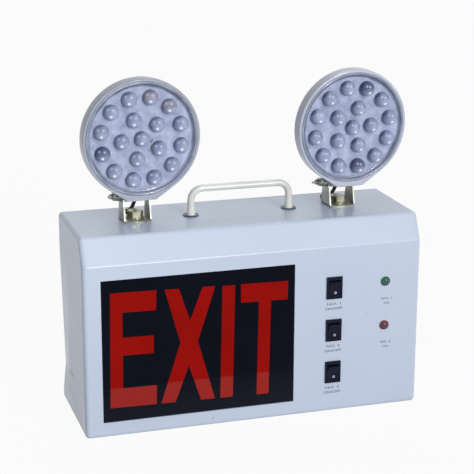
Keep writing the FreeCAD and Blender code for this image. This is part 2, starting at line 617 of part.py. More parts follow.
def make_switch(number, height):
    """A snap-in rocker switch: a bezel and body in one moulding, and the rocker on its pins."""
    bezel = box(f"{SWITCH_X} - bezel_width / 2", f"{SWITCH_X} + bezel_width / 2", f"{FACE} - bezel_thick",
                FACE, f"{height} - bezel_height / 2", f"{height} + bezel_height / 2")
    shell = box(f"{SWITCH_X} - switch_width / 2", f"{SWITCH_X} + switch_width / 2", FACE,
                f"{FACE} + switch_depth", f"{height} - switch_height / 2", f"{height} + switch_height / 2")
    pivot = f"({FACE} + rocker_pivot_in)"
    half = "(rocker_width / 2 + rocker_gap)"
    room = rod("rocker_radius + rocker_gap", f"2 * {half}", f"{SWITCH_X} - {half}", pivot, height, "X")
    well = less(room, box(f"{SWITCH_X} - {half} - cut_over", f"{SWITCH_X} + {half} + cut_over",
                          f"{pivot} + rocker_room", f"{pivot} + switch_depth", f"{height} - switch_height",
                          f"{height} + switch_height"))
    pin_half = f"({half} + rocker_pin_reach)"
    pin_room = rod("rocker_pin_radius + rocker_pin_clear", f"2 * {pin_half}", f"{SWITCH_X} - {pin_half}",
                   pivot, height, "X")
    keep(f"switch_{number}_body", less(join(bezel, shell), well, pin_room))

    # the rocker at rest is pressed at its foot; its two faces meet in a shallow valley
    reach = "(rocker_width / 2 + rocker_pin_reach)"
    body = new_body(f"switch_{number}_rocker",
                    pose(SWITCH_X, pivot, height, "0", "rocker_angle"))
    profile = sketch_on(body, "YZ_Plane")
    end, back = "(rocker_radius - rocker_nose)", "(rocker_radius - rocker_heel)"
    front = f"(-rocker_valley - {end} * tan(rocker_angle))"
    outline(profile, [("-rocker_valley", "0"), (front, end), ("rocker_back", back),
                      ("rocker_back", f"-{back}"), (front, f"-{end}")])
    pad(body, profile, "rocker_width", both_ways=True)
    pins = sketch_on(body, "YZ_Plane")
    ring(pins, "0", "0", "rocker_pin_radius")
    pad(body, pins, f"2 * {reach}", both_ways=True)


def make_switches():
    for number, height in enumerate(reversed(SWITCHES), start=1):
        make_switch(number, height)
    tabs = []
    back = f"({FACE} + switch_depth)"
    for height in SWITCHES:
        for step in (-1, 0, 1):
            z = f"({height} + {step} * tab_pitch)"
            tabs.append(box(f"{SWITCH_X} - tab_width / 2", f"{SWITCH_X} + tab_width / 2", back,
                            f"{back} + tab_length", f"{z} - tab_thick / 2", f"{z} + tab_thick / 2"))
    keep("switch_terminals", group(*tabs))


def make_indicators():
    """Each indicator is one coloured moulding, held from behind by a push-on ring."""
    rings = []
    shoulder, rise = "(indicator_radius - indicator_rim)", "(indicator_dome - indicator_flange)"
    dome = f"-({rise} ^ 2 + {shoulder} ^ 2) / (2 * {rise})"
    for name, height in INDICATORS.items():
        body = new_body(name, pose(INDICATOR_X, FACE, height))
        profile = sketch_on(body, "YZ_Plane")
        outline(profile, [("-indicator_dome", "0", dome), ("-indicator_flange", shoulder),
                          ("-indicator_flange", "indicator_radius"), ("0", "indicator_radius"),
                          ("0", "indicator_barrel"), ("indicator_length", "indicator_barrel"),
                          ("indicator_length", "0")])
        turned(body, profile)
        place = (INDICATOR_X, INSIDE_FACE, height, "Y")
        rings.append(drilled(rod("indicator_ring", "indicator_ring_thick", *place),
                             "indicator_barrel + thread_clear", "indicator_ring_thick", *place))
    keep("indicator_rings", group(*rings))


# --- handle --------------------------------------------------------------------------------

def make_handle():
    """One bent steel rod, thicker at its feet, with a threaded end under each."""
    body = new_body("handle", pose("handle_x", "handle_y", TOP))
    half, foot = "(handle_span / 2)", "handle_washer_thick"
    spine = sketch_on(body, "XZ_Plane")
    outline(spine, [(f"-{half}", foot), (f"-{half}", "handle_rise - handle_bend", "-handle_bend"),
                    (f"handle_bend - {half}", "handle_rise"),
                    (f"{half} - handle_bend", "handle_rise", "-handle_bend"),
                    (half, "handle_rise - handle_bend"), (half, foot)], closed=False)
    section = sketch_on(body, "XY_Plane", out=foot, across=f"-{half}")
    ring(section, "0", "0", "handle_radius")
    pipe = body.newObject("PartDesign::AdditivePipe", "Pipe")
    pipe.Profile = section
    pipe.Spine = (spine, [])
    doc.recompute()
    for side in ("-1", "1"):
        leg = sketch_on(body, "XZ_Plane", across=f"{side} * {half}")
        outline(leg, [("0", f"{foot} - handle_stud"), ("handle_stud_radius", f"{foot} - handle_stud"),
                      ("handle_stud_radius", foot), ("handle_foot_radius", foot),
                      ("handle_radius", "handle_foot_height"), ("0", "handle_foot_height")])
        turned(body, leg, axis="V_Axis")
    washers, nuts = [], []
    for x in HANDLE_FEET:
        place = (x, "handle_y", TOP)
        washers.append(drilled(rod("handle_washer_radius", "handle_washer_thick", *place),
                               "handle_stud_radius + thread_clear", "handle_washer_thick", *place))
        place = (x, "handle_y", f"({INSIDE_TOP} - handle_nut_high)")
        nuts.append(drilled(hexagon("handle_nut_across", "handle_nut_high", *place),
                            "handle_stud_radius + thread_clear", "handle_nut_high", *place))
    keep("handle_washers", group(*washers))
    keep("handle_nuts", group(*nuts))


# --- lamp brackets and their bolts ----------------------------------------------------------

def make_bracket(side):
    """A folded steel fork: a base with rounded ends and two arms that narrow to the pivot."""
    body = new_body(f"{side}_bracket", base_pose(side))
    half, deep = "(bracket_width / 2)", "(bracket_arm_depth / 2)"
    bulge = f"({half} ^ 2 + bracket_bulge ^ 2) / (2 * bracket_bulge)"
    plan = sketch_on(body, "XY_Plane")
    outline(plan, [(f"-{half}", f"-{deep}", bulge), (half, f"-{deep}"), (half, deep, bulge),
                   (f"-{half}", deep)])
    pad(body, plan, "bracket_thick")
    for start in (f"{half} - bracket_thick", f"-{half}"):
        arm = sketch_on(body, "YZ_Plane", out=start)
        outline(arm, [(f"-{deep}", "0"), (deep, "0"), ("bracket_arm_top", "pivot_height", "bracket_arm_top"),
                      ("0", "pivot_height + bracket_arm_top", "bracket_arm_top"),
                      ("-bracket_arm_top", "pivot_height")])
        fork = pad(body, arm, "bracket_thick")
    edge = size(half) - NEAR
    outer = edges_where(fork.Shape, lambda b: b.ZMax < NEAR and min(abs(b.XMin), abs(b.XMax)) > edge
                        and b.XLength < NEAR)
    rounded(body, fork, outer, "bracket_fold")
    floor = sketch_on(body, "XY_Plane", out="bracket_thick + cut_over")
    ring(floor, "0", "0", "base_bolt_radius + base_bolt_clear")
    pocket(body, floor, "bracket_thick + 2 * cut_over")
    eyes = sketch_on(body, "YZ_Plane")
    ring(eyes, "0", "pivot_height", "pivot_bolt_radius + thread_clear")
    pocket(body, eyes, "bracket_width + 2 * cut_over", both_ways=True)


def make_base_bolts():
    bolts, washers, nuts = [], [], []
    seat = f"({TOP} + bracket_thick)"
    under_head = f"({seat} + base_washer_thick)"
    bore = "base_bolt_radius + thread_clear"
    for x in LAMPS.values():
        bolts.append(join(hexagon("base_bolt_across", "base_bolt_head", x, "lamp_y", under_head),
                          rod("base_bolt_radius", "base_bolt_length", x, "lamp_y",
                              f"{under_head} - base_bolt_length")))
        place = (x, "lamp_y", seat)
        washers.append(drilled(rod("base_washer_radius", "base_washer_thick", *place), bore,
                               "base_washer_thick", *place))
        place = (x, "lamp_y", f"({INSIDE_TOP} - base_nut_high)")
        nuts.append(drilled(hexagon("base_bolt_across", "base_nut_high", *place), bore, "base_nut_high",
                            *place))
    keep("base_bolts", group(*bolts))
    keep("base_washers", group(*washers))
    keep("base_nuts", group(*nuts))


def make_pivot(side):
    """The bolt that the head tilts on, its washer and the wing nut that clamps it."""
    half = "(bracket_width / 2)"
    shank = "(bracket_width + pivot_washer_thick + pivot_bolt_tail)"
    bolt = join(hexagon("pivot_bolt_across", "pivot_bolt_head", half, "0", "0", "X"),
                rod("pivot_bolt_radius", shank, f"{half} - {shank}", "0", "0", "X"))
    keep(f"{side}_pivot_bolt", group(bolt), pivot_pose(side))
    place = (f"-{half} - pivot_washer_thick", "0", "0", "X")
    washer = drilled(rod("pivot_washer_radius", "pivot_washer_thick", *place),
                     "pivot_bolt_radius + thread_clear", "pivot_washer_thick", *place)
    keep(f"{side}_pivot_washer", group(washer), pivot_pose(side))

    body = new_body(f"{side}_wing_nut",
                    pivot_pose(side, f"-{half} - pivot_washer_thick", f"{side}_wing_turn"))
    boss = sketch_on(body, "XZ_Plane")
    outline(boss, [("0", "0"), ("-wing_boss_length", "0"), ("-wing_boss_length", "wing_boss_tip"),
                   ("0", "wing_boss_radius")])
    turned(body, boss)
    wings = sketch_on(body, "XY_Plane")
    one = [("-0.15 * wing_flare", "wing_boss_radius * 0.6"), ("-0.2 * wing_flare", "wing_reach * 0.55"),
           ("-0.5 * wing_flare", "wing_reach * 0.92"), ("-0.85 * wing_flare", "wing_reach"),
           ("-wing_flare", "wing_reach * 0.86"), ("-0.8 * wing_flare", "wing_reach * 0.5"),
           ("-0.75 * wing_flare", "wing_boss_tip * 0.6")]
    outline(wings, one + [(x, f"-({y})") for x, y in reversed(one)])
    pad(body, wings, "wing_thick", both_ways=True)
    bore = sketch_on(body, "YZ_Plane", out="cut_over")
    ring(bore, "0", "0", "pivot_bolt_radius + pivot_bolt_clear")
    pocket(body, bore, "wing_boss_length + 2 * cut_over")


# --- lamp heads --------------------------------------------------------------------------------

def make_lamp_housing(side):
    """A round bowl whose rim runs down in two tangents to a narrow neck at the pivot."""
    body = new_body(f"{side}_lamp_housing", pivot_pose(side, "0", f"{side}_tilt"))
    drop = f"({RISE} - flare_bottom)"
    reach = f"(flare_half ^ 2 + {drop} ^ 2)"
    touch = f"sqrt({reach} - lamp_radius ^ 2)"
    tangent_x = f"(lamp_radius / {reach} * (lamp_radius * flare_half + {touch} * {drop}))"
    tangent_z = f"(lamp_radius / {reach} * ({touch} * flare_half - lamp_radius * {drop}))"
    rim = sketch_on(body, "XZ_Plane", out="rim_back", up=RISE)
    outline(rim, [("-flare_half", f"-{drop}"), ("flare_half", f"-{drop}"),
                  (tangent_x, tangent_z, "lamp_radius"), ("0", "lamp_radius", "lamp_radius"),
                  (f"-{tangent_x}", tangent_z)])
    front = pad(body, rim, "rim_front - rim_back")
    low = size("flare_bottom") + NEAR
    corners = edges_where(front.Shape, lambda b: b.ZMax < low and b.XLength < NEAR < b.YLength)
    front = rounded(body, front, corners, "flare_round")
    face = -size("rim_front") + NEAR
    front = rounded(body, front, edges_where(front.Shape, lambda b: b.YMax < face), "rim_round")

    bowl = sketch_on(body, "YZ_Plane", up=RISE)
    back = f"({BOWL} - bowl_back_in)"
    inside = "-rim_back - cut_over"
    outline(bowl, [(inside, "0"), ("bowl_back", "0"), ("bowl_back", back, "bowl_curve"),
                   ("-rim_back", BOWL), (inside, BOWL)])
    turned(body, bowl)
    slope = "(boss_radius * cos(45))"
    neck = sketch_on(body, "YZ_Plane")
    outline(neck, [(inside, "flare_bottom"), (f"-{slope}", f"-{slope}", "boss_radius"),
                   (slope, f"-{slope}"), ("neck_back", f"neck_back - 2 * {slope}"),
                   ("neck_back", "neck_top"), (inside, "neck_top")])
    pad(body, neck, "neck_width", both_ways=True)

    seat = f"({CAP} + cap_fit)"
    ledge = f"({seat} - board_ledge)"
    cavity = sketch_on(body, "YZ_Plane", up=RISE)
    outline(cavity, [("-rim_front - cut_over", "0"), ("bowl_back - lamp_wall", "0"),
                     ("bowl_back - lamp_wall", f"{back} - bowl_corner", "bowl_curve - lamp_wall"),
                     ("-rim_back", f"{BOWL} - lamp_wall"), ("-rim_back", ledge),
                     ("board_depth - rim_front", ledge), ("board_depth - rim_front", seat),
                     ("-rim_front - cut_over", seat)])
    turned(body, cavity, "Groove")
    bore = sketch_on(body, "YZ_Plane")
    ring(bore, "0", "0", "pivot_bolt_radius + pivot_bolt_clear")
    pocket(body, bore, "neck_width + 2 * cut_over", both_ways=True)


def ring_place(side, ring_name):
    """Where the first item of a ring of lamps sits, from the lamp's pivot."""
    radius, turn = RINGS[ring_name], f"{side}_{ring_name}_turn"
    return f"{radius} * sin({turn})", f"{RISE} + {radius} * cos({turn})"


def make_lamp_board(side):
    """The white disc that carries the light chips, on the ledge inside the rim."""
    body = new_body(f"{side}_lamp_board", pivot_pose(side, "0", f"{side}_tilt"))
    disc = sketch_on(body, "XZ_Plane", out="rim_front - board_depth", up=RISE)
    ring(disc, "0", "0", f"{CAP} - cap_fit")
    pad(body, disc, "board_thick")
    top = "rim_front - board_depth + board_thick"
    for name in RINGS:
        x, z = ring_place(side, name)
        chip = sketch_on(body, "XZ_Plane", out=top, across=x, up=z)
        rectangle(chip, "-chip_size / 2", "chip_size / 2", "-chip_size / 2", "chip_size / 2")
        circled(body, pad(body, chip, "chip_high"), disc, f"{name}_count")
    chip = sketch_on(body, "XZ_Plane", out=top, up=RISE)
    rectangle(chip, "-chip_size / 2", "chip_size / 2", "-chip_size / 2", "chip_size / 2")
    body.Tip = pad(body, chip, "chip_high")


def make_lens_cap(side):
    """The clear front: a shallow cup with a domed lens moulded over every chip."""
    body = new_body(f"{side}_lens_cap", pivot_pose(side, "0", f"{side}_tilt"))
    front, inner = "(-rim_front - cap_proud)", f"({CAP} - cap_ring)"
    foot = "board_depth - board_thick - rim_front"
    profile = sketch_on(body, "YZ_Plane", up=RISE)
    outline(profile, [(front, "0"), (f"{front} + cap_face", "0"), (f"{front} + cap_face", inner),
                      (foot, inner), (foot, CAP), (f"{front} + cap_proud", CAP),
                      (front, f"{CAP} - cap_proud")])
    turned(body, profile)
    hub = sketch_on(body, "XZ_Plane", up=RISE)
    ring(hub, "0", "0", inner)
    for name in (*RINGS, "centre"):
        x, z = ring_place(side, name) if name in RINGS else ("0", RISE)
        dome = body.newObject("PartDesign::AdditiveSphere", "Dome")
        dome.AttachmentSupport = (plane(body, "XZ_Plane"), [""])
        dome.MapMode = "FlatFace"
        dome.Angle1 = 0
        bind(dome, Radius="dome_radius", AttachmentOffset__Base__x=x, AttachmentOffset__Base__y=z,
             AttachmentOffset__Base__z="rim_front + cap_proud - dome_sink")
        doc.recompute()
        if name in RINGS:
            circled(body, dome, hub, f"{name}_count")
    body.Tip = dome


def make_lamp_lead(side):
    """The two-core lead, whole from the neck of the lamp to its grommet in the top."""
    slope = size("boss_radius * cos(45)")
    middle = (slope + size("neck_back")) / 2
    lean = FreeCAD.Rotation(size(f"{side}_yaw"), 0, size(f"{side}_tilt"))
    yaw = FreeCAD.Rotation(size(f"{side}_yaw"), 0, 0)
    start = (lean.multVec(FreeCAD.Vector(size("lead_x"), middle, middle - 2 * slope))
             + yaw.multVec(FreeCAD.Vector(0, 0, size("pivot_height"))))
    way = lean.multVec(FreeCAD.Vector(0, 1, -1).normalize())
    hole = FreeCAD.Vector(size("grommet_x"), size("grommet_y"), 0)
    route = [start, start + way * size("lead_out"),
             hole + FreeCAD.Vector(0, 0, size("grommet_high + lead_rise")),
             hole - FreeCAD.Vector(0, 0, size("lead_tail"))]
    edges, last = [], start
    for before, corner, after in zip(route, route[1:], route[2:]):
        into, out = (before - corner).normalize(), (after - corner).normalize()
        half_turn = (math.pi - into.getAngle(out)) / 2
        radius = size("lead_bend")
        inset = radius * math.tan(half_turn)
        enter, leave = corner + into * inset, corner + out * inset
        inward = (into + out).normalize()
        centre = corner + inward * (radius / math.cos(half_turn))
        edges.append(Part.LineSegment(last, enter).toShape())
        edges.append(Part.Arc(enter, centre - inward * radius, leave).toShape())
        last = leave
    edges.append(Part.LineSegment(last, route[-1]).toShape())
    spine = Part.Wire(edges)
    circle = Part.Wire(Part.Circle(start, way, size("lead_radius")).toShape())
    tube = spine.makePipeShell([circle], True, True)
    whole = math.pi * size("lead_radius") ** 2 * spine.Length
    if abs(tube.Volume - whole) > 0.01 * whole:
        raise RuntimeError(f"the {side} lamp lead holds {tube.Volume:.1f} of {whole:.1f} cubic mm")
    print(f"{side} lamp lead: {spine.Length:.1f} mm long, volume {tube.Volume:.1f} of {whole:.1f} cubic mm")
    lead = doc.addObject("Part::Feature", "Lead")
    lead.Shape = tube
    keep(f"{side}_lamp_lead", lead, pose(LAMPS[side], "lamp_y", TOP))


def make_lead_grommets():
    grommets = []
    inner, outer = f"({INSIDE_TOP} - grommet_high)", "(sheet_thick + 2 * grommet_high)"
    for lamp_x in LAMPS.values():
        spot = (f"({lamp_x} + grommet_x)", "(lamp_y + grommet_y)")
        solid = join(rod("grommet_radius", "grommet_high", *spot, TOP),
                     rod("grommet_hole - grommet_clear", outer, *spot, inner),
                     rod("grommet_radius", "grommet_high", *spot, inner))
        grommets.append(drilled(solid, "lead_radius + thread_clear", outer, *spot, inner))
    keep("lead_grommets", group(*grommets))


# --- inside the box --------------------------------------------------------------------------

FLOOR = "sheet_thick"


def make_battery():
    """A sealed 12 V lead-acid block, with its two blade terminals."""
    half, deep = "(battery_length / 2)", "(battery_width / 2)"
    body = new_body("battery", pose(BATTERY_X, "battery_y", FLOOR))
    plan = sketch_on(body, "XY_Plane")
    rectangle(plan, f"-{half}", half, f"-{deep}", deep)
    block = pad(body, plan, "battery_height")
    tall = size("battery_height") - NEAR
    rounded(body, block, edges_where(block.Shape, lambda b: b.ZLength > tall), "battery_round")
    blades = sketch_on(body, "XY_Plane", out="battery_height")
    for side in (-1, 1):
        y = f"({side} * ({deep} - terminal_in))"
        rectangle(blades, f"{half} - terminal_in - terminal_thick / 2",
                  f"{half} - terminal_in + terminal_thick / 2",
                  f"{y} - terminal_width / 2", f"{y} + terminal_width / 2")
    pad(body, blades, "terminal_high")

    strap = new_body("battery_strap", pose(BATTERY_X, "battery_y", FLOOR))
    leg = f"({half} + strap_clear)"
    top = "(battery_height + strap_clear)"
    side = sketch_on(strap, "XZ_Plane")
    outline(side, [(f"-{leg} - strap_foot", "0"), (f"-{leg}", "0"), (f"-{leg}", top), (leg, top),
                   (leg, "0"), (f"{leg} + strap_foot", "0"), (f"{leg} + strap_foot", "strap_thick"),
                   (f"{leg} + strap_thick", "strap_thick"), (f"{leg} + strap_thick", f"{top} + strap_thick"),
                   (f"-{leg} - strap_thick", f"{top} + strap_thick"),
                   (f"-{leg} - strap_thick", "strap_thick"), (f"-{leg} - strap_foot", "strap_thick")])
    pad(strap, side, "strap_width", both_ways=True)
    holes = sketch_on(strap, "XY_Plane", out="strap_thick + cut_over")
    for end in ("-1", "1"):
        ring(holes, f"{end} * ({leg} + strap_foot / 2)", "0", "floor_stud_radius + thread_clear")
    pocket(strap, holes, "strap_thick + 2 * cut_over")


def make_transformer():
    """A laminated core on a footed frame, with the bobbin round its middle leg."""
    half, deep = "(core_length / 2)", "(core_width / 2)"
    front, back = f"(core_y - {deep})", f"(core_y + {deep})"
    low, high = f"({FLOOR} + core_leg)", f"({FLOOR} + core_height - core_leg)"
    gaps = []
    for side in (-1, 1):
        edges = [f"{CORE_X} + {side} * core_leg", f"{CORE_X} + {side} * ({half} - core_leg)"]
        gaps.append(box(*edges[::side], f"{front} - cut_over", f"{back} + cut_over", low, high))
    frame = join(box(f"{CORE_X} - {half}", f"{CORE_X} + {half}", front, back, FLOOR,
                     f"{FLOOR} + core_height"),
                 box(f"{CORE_X} - {half} - core_foot", f"{CORE_X} + {half} + core_foot", front, back,
                     FLOOR, f"{FLOOR} + core_foot_thick"))
    core = less(frame, *gaps)
    for x, y in CORE_STUDS:
        core = drilled(core, "floor_stud_radius + thread_clear", "core_foot_thick", x, y, FLOOR)
    keep("transformer_core", core)
    reach = f"({half} - core_leg - coil_gap)"
    outer = box(f"{CORE_X} - {reach}", f"{CORE_X} + {reach}", "core_y - coil_width / 2",
                "core_y + coil_width / 2", low, high)
    inner = box(f"{CORE_X} - core_leg", f"{CORE_X} + core_leg", front, back, f"{low} - cut_over",
                f"{high} + cut_over")
    keep("transformer_coil", less(outer, inner))
    nuts = []
    for studs, foot in ((STRAP_STUDS, "strap_thick"), (CORE_STUDS, "core_foot_thick")):
        for x, y in studs:
            place = (x, y, f"({FLOOR} + {foot})")
            nuts.append(drilled(hexagon("floor_nut_across", "floor_nut_high", *place),
                                "floor_stud_radius + thread_clear", "floor_nut_high", *place))
    keep("floor_nuts", group(*nuts))


def make_charger_board():
    """The charger and change-over board, on spacers inside the rear cover."""
    back = f"({COVER_FRONT} - spacer_length)"
    front = f"({back} - pcb_thick)"
    board = [box("pcb_x - pcb_length / 2", "pcb_x + pcb_length / 2", front, back, "pcb_low",
                 "pcb_low + pcb_height")]
    for name in ("relay", "sink"):
        x, height = f"(pcb_x + {name}_x)", f"(pcb_low + {name}_up)"
        board.append(box(f"{x} - {name}_length / 2", f"{x} + {name}_length / 2", f"{front} - {name}_deep",
                         front, f"{height} - {name}_height / 2", f"{height} + {name}_height / 2"))
    for side in (-1, 1):
        board.append(rod("can_radius", "can_deep", f"pcb_x + can_x + {side} * can_half_pitch",
                         f"{front} - can_deep", "pcb_low + can_up", "Y"))
    board = join(*board)
    spacers, screws = [], []
    outer = f"({REAR} - cover_recess)"
    shank = "(cover_thick + spacer_length + pcb_thick + pcb_screw_tail)"
    bore = "pcb_screw_radius + thread_clear"
    for x, height in PCB_HOLES:
        board = drilled(board, bore, "pcb_thick", x, front, height, "Y")
        spacers.append(drilled(rod("spacer_radius", "spacer_length", x, back, height, "Y"), bore,
                               "spacer_length", x, back, height, "Y"))
        screws.append(join(rod("pcb_screw_radius", shank, x, f"{outer} - {shank}", height, "Y"),
                           taper("2 * pcb_screw_radius", "1.4 * pcb_screw_radius", "pcb_screw_head", x,
                                 outer, height, "Y")))
    keep("charger_board", board)
    keep("board_spacers", group(*spacers))
    keep("board_screws", group(*screws))


make_front_cover()
make_rear_cover()
make_cover_screws()
make_mains_grommet()
make_sign()
make_switches()
make_indicators()
make_handle()
make_base_bolts()
make_lead_grommets()
for lamp in LAMPS:
    make_bracket(lamp)
    make_pivot(lamp)
    make_lamp_housing(lamp)
    make_lamp_board(lamp)
    make_lens_cap(lamp)
    make_lamp_lead(lamp)
make_battery()
make_transformer()
make_charger_board()
doc.recompute()

for item in doc.Objects:
    if {"Invalid", "Error"} & set(item.State):
        raise RuntimeError(f"{item.Label} ({item.Name}) did not recompute: {item.State}")
os.makedirs("parts", exist_ok=True)
for name, item in pieces.items():
    if item.Shape.isNull() or not item.Shape.isValid():
        raise RuntimeError(f"{name} has no valid shape")
for name, item in pieces.items():
    item.Shape.exportStep(f"parts/{name}.step")
print(len(pieces), "sub-parts written")
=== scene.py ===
# %% [markdown]
# # An emergency exit light
# A steel box carries a lit EXIT sign, three rocker switches and two indicators. On top stand a carrying
# handle and two lamp heads, each clamped in a bracket by a wing nut so that it swivels and tilts.
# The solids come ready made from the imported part. This lesson gives each of them its finish, adds what is
# too fine for solids, such as printed words, moulded lenses and flexible leads, and lights the whole.

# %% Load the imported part
import json
import math

import bpy
from mathutils import Matrix, Vector


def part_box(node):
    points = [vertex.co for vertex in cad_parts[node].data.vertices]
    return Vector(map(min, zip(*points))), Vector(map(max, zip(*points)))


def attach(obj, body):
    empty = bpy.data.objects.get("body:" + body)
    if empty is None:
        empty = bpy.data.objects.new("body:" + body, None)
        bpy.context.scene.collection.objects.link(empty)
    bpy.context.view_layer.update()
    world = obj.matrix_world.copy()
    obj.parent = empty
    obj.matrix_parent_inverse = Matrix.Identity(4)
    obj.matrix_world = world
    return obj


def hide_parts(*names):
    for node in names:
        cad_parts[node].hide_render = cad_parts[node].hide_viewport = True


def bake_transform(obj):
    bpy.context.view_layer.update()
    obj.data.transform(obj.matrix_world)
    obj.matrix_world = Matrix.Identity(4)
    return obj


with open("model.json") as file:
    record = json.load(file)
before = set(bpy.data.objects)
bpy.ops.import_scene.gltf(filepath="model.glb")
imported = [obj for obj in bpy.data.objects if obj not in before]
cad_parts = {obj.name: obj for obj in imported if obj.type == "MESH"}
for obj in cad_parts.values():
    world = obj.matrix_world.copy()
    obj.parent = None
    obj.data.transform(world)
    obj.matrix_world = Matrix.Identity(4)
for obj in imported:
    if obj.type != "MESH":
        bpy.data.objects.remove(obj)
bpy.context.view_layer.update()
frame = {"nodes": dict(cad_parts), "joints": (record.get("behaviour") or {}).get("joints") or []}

MM = 0.001

# %% [markdown]
# ## One way to write every colour
# Paint cards and screens count a colour from 0 to 255, but a shader wants the amount of light, which is
# not the same scale. One small function turns the first into the second, so that every finish below can be
# written in numbers that are easy to compare with a sample held in the hand.


# %% Colours
def shade(red, green, blue):
    """The linear colour of a screen colour counted from 0 to 255."""
    def linear(part):
        part /= 255
        return part / 12.92 if part <= 0.04045 else ((part + 0.055) / 1.055) ** 2.4
    return (linear(red), linear(green), linear(blue), 1)


print("a mid grey of 128 is", round(shade(128, 128, 128)[0], 3), "of full light")

# %% [markdown]
# ## A surface is never one flat colour
# Even new paint drifts a little from place to place, and every moulded or rolled surface has a grain.
# The helper below makes that once for all: soft patches mix two close shades, a second noise changes the
# gloss, and a fine grain lifts the surface. Each finish then only chooses its numbers. The noise is read in
# the piece's own coordinates, so it stays on the piece when a joint moves it.


# %% Nodes and where they read the piece
def add_node(finish, kind, **settings):
    node = finish.node_tree.nodes.new("ShaderNode" + kind)
    for name, value in settings.items():
        setattr(node, name, value)
    return node


def join_nodes(finish, source, target):
    finish.node_tree.links.new(source, target)


def own_place(finish):
    """The node that gives the place and the normal in the piece's own coordinates."""
    for node in finish.node_tree.nodes:
        if node.bl_idname == "ShaderNodeTexCoord":
            return node
    return add_node(finish, "TexCoord")


# %% Noise, colour ramps and ranges
def noise(finish, count, detail=2, stretch=(1, 1, 1)):
    """Noise of a count of blotches per metre, which can be stretched along an axis."""
    texture = add_node(finish, "TexNoise")
    texture.inputs["Scale"].default_value = count
    texture.inputs["Detail"].default_value = detail
    if stretch == (1, 1, 1):
        join_nodes(finish, own_place(finish).outputs["Object"], texture.inputs["Vector"])
    else:
        mapping = add_node(finish, "Mapping")
        mapping.inputs["Scale"].default_value = stretch
        join_nodes(finish, own_place(finish).outputs["Object"], mapping.inputs["Vector"])
        join_nodes(finish, mapping.outputs["Vector"], texture.inputs["Vector"])
    return texture.outputs["Fac"]


def spread(finish, value, stops):
    """A colour ramp over a value: stops are pairs of a place from 0 to 1 and a colour."""
    ramp = add_node(finish, "ValToRGB")
    points = ramp.color_ramp.elements
    while len(points) < len(stops):
        points.new(0.5)
    for point, (place, tone) in zip(points, stops):
        point.position, point.color = place, tone
    join_nodes(finish, value, ramp.inputs["Fac"])
    return ramp.outputs["Color"]


def between(finish, value, low, high, start=0.3, end=0.7):
    """A value moved from the range start to end into the range low to high."""
    scale = add_node(finish, "MapRange")
    for name, number in (("From Min", start), ("From Max", end), ("To Min", low), ("To Max", high)):
        scale.inputs[name].default_value = number
    join_nodes(finish, value, scale.inputs["Value"])
    return scale.outputs["Result"]


# %% A finish with patches, uneven gloss and grain
def set_shader(finish, **settings):
    """Sets the shader's own sockets, where coat_weight stands for the socket Coat Weight."""
    shader = finish.node_tree.nodes["Principled BSDF"]
    for name, value in settings.items():
        shader.inputs[name.replace("_", " ").title().replace("Ior", "IOR")].default_value = value
    return shader


def make_finish(name, dark, light, patches=25, gloss=(0.3, 0.4), grain=1500, height=0.02, stretch=(1, 1, 1),
                **settings):
    """A material between two shades. patches and grain count blotches a metre, height is in millimetres."""
    finish = bpy.data.materials.new(name)
    finish.use_nodes = True
    shader = set_shader(finish, **settings)
    join_nodes(finish, spread(finish, noise(finish, patches, 3, stretch), [(0.3, dark), (0.7, light)]),
               shader.inputs["Base Color"])
    join_nodes(finish, between(finish, noise(finish, patches * 3, 2, stretch), *gloss),
               shader.inputs["Roughness"])
    lift = add_node(finish, "Bump")
    lift.inputs["Strength"].default_value = 0.4
    lift.inputs["Distance"].default_value = height * MM
    join_nodes(finish, noise(finish, grain, 2, stretch), lift.inputs["Height"])
    join_nodes(finish, lift.outputs["Normal"], shader.inputs["Normal"])
    return finish


# %% Putting a finish on solids
def dress(finish, *names):
    """Gives a finish to CAD pieces by name."""
    for name in names:
        mesh = frame["nodes"][name].data
        mesh.materials.clear()
        mesh.materials.append(finish)
    print(finish.name, "on", ", ".join(names))


# %% [markdown]
# ## The powder-coated box
# The box is folded steel under a bluish white powder coat. Powder melts into a glossy skin with a very fine
# orange peel, so the reflections of the brackets and the handle stay soft. A plain glossy white would look
# like porcelain: the peel and the slow drift of the colour are what say painted metal.

# %% Laying one colour over another
def own_axis(finish, axis):
    """A place along one axis, in metres, in the piece's own coordinates."""
    split = add_node(finish, "SeparateXYZ")
    join_nodes(finish, own_place(finish).outputs["Object"], split.inputs[0])
    return split.outputs[axis]


def lay_over(finish, under, tone, amount):
    """A colour laid over another by an amount from 0 to 1."""
    layer = add_node(finish, "Mix", data_type="RGBA")
    join_nodes(finish, amount, layer.inputs[0])
    join_nodes(finish, under, layer.inputs[6])
    layer.inputs[7].default_value = tone
    return layer.outputs[2]


def tint_more(finish, tone, amount):
    """Lays a tone over whatever colour a finish has so far."""
    colour = finish.node_tree.nodes["Principled BSDF"].inputs["Base Color"]
    join_nodes(finish, lay_over(finish, colour.links[0].from_socket, tone, amount), colour)


# %% Box paint, with painted shade that greys it towards its foot and its right end
BOX_FINISH = make_finish("bluish_white_powder_coat", shade(198, 210, 225), shade(206, 217, 231), patches=6,
                         gloss=(0.2, 0.28), grain=900, height=0.02, specular_ior_level=0.3)
# painted shade: a grey tone laid over the paint stands for the light falling off downwards and towards the
# right end
FALLOFF_SHADE = shade(172, 181, 198)
FOOT_SHADE, RIGHT_SHADE = 0.34, 0.24
tint_more(BOX_FINISH, FALLOFF_SHADE, between(BOX_FINISH, own_axis(BOX_FINISH, "Z"), FOOT_SHADE, 0, 0, 0.15))
tint_more(BOX_FINISH, FALLOFF_SHADE, between(BOX_FINISH, own_axis(BOX_FINISH, "X"), 0, RIGHT_SHADE, -0.14, 0.16))
print("mixed", BOX_FINISH.name)
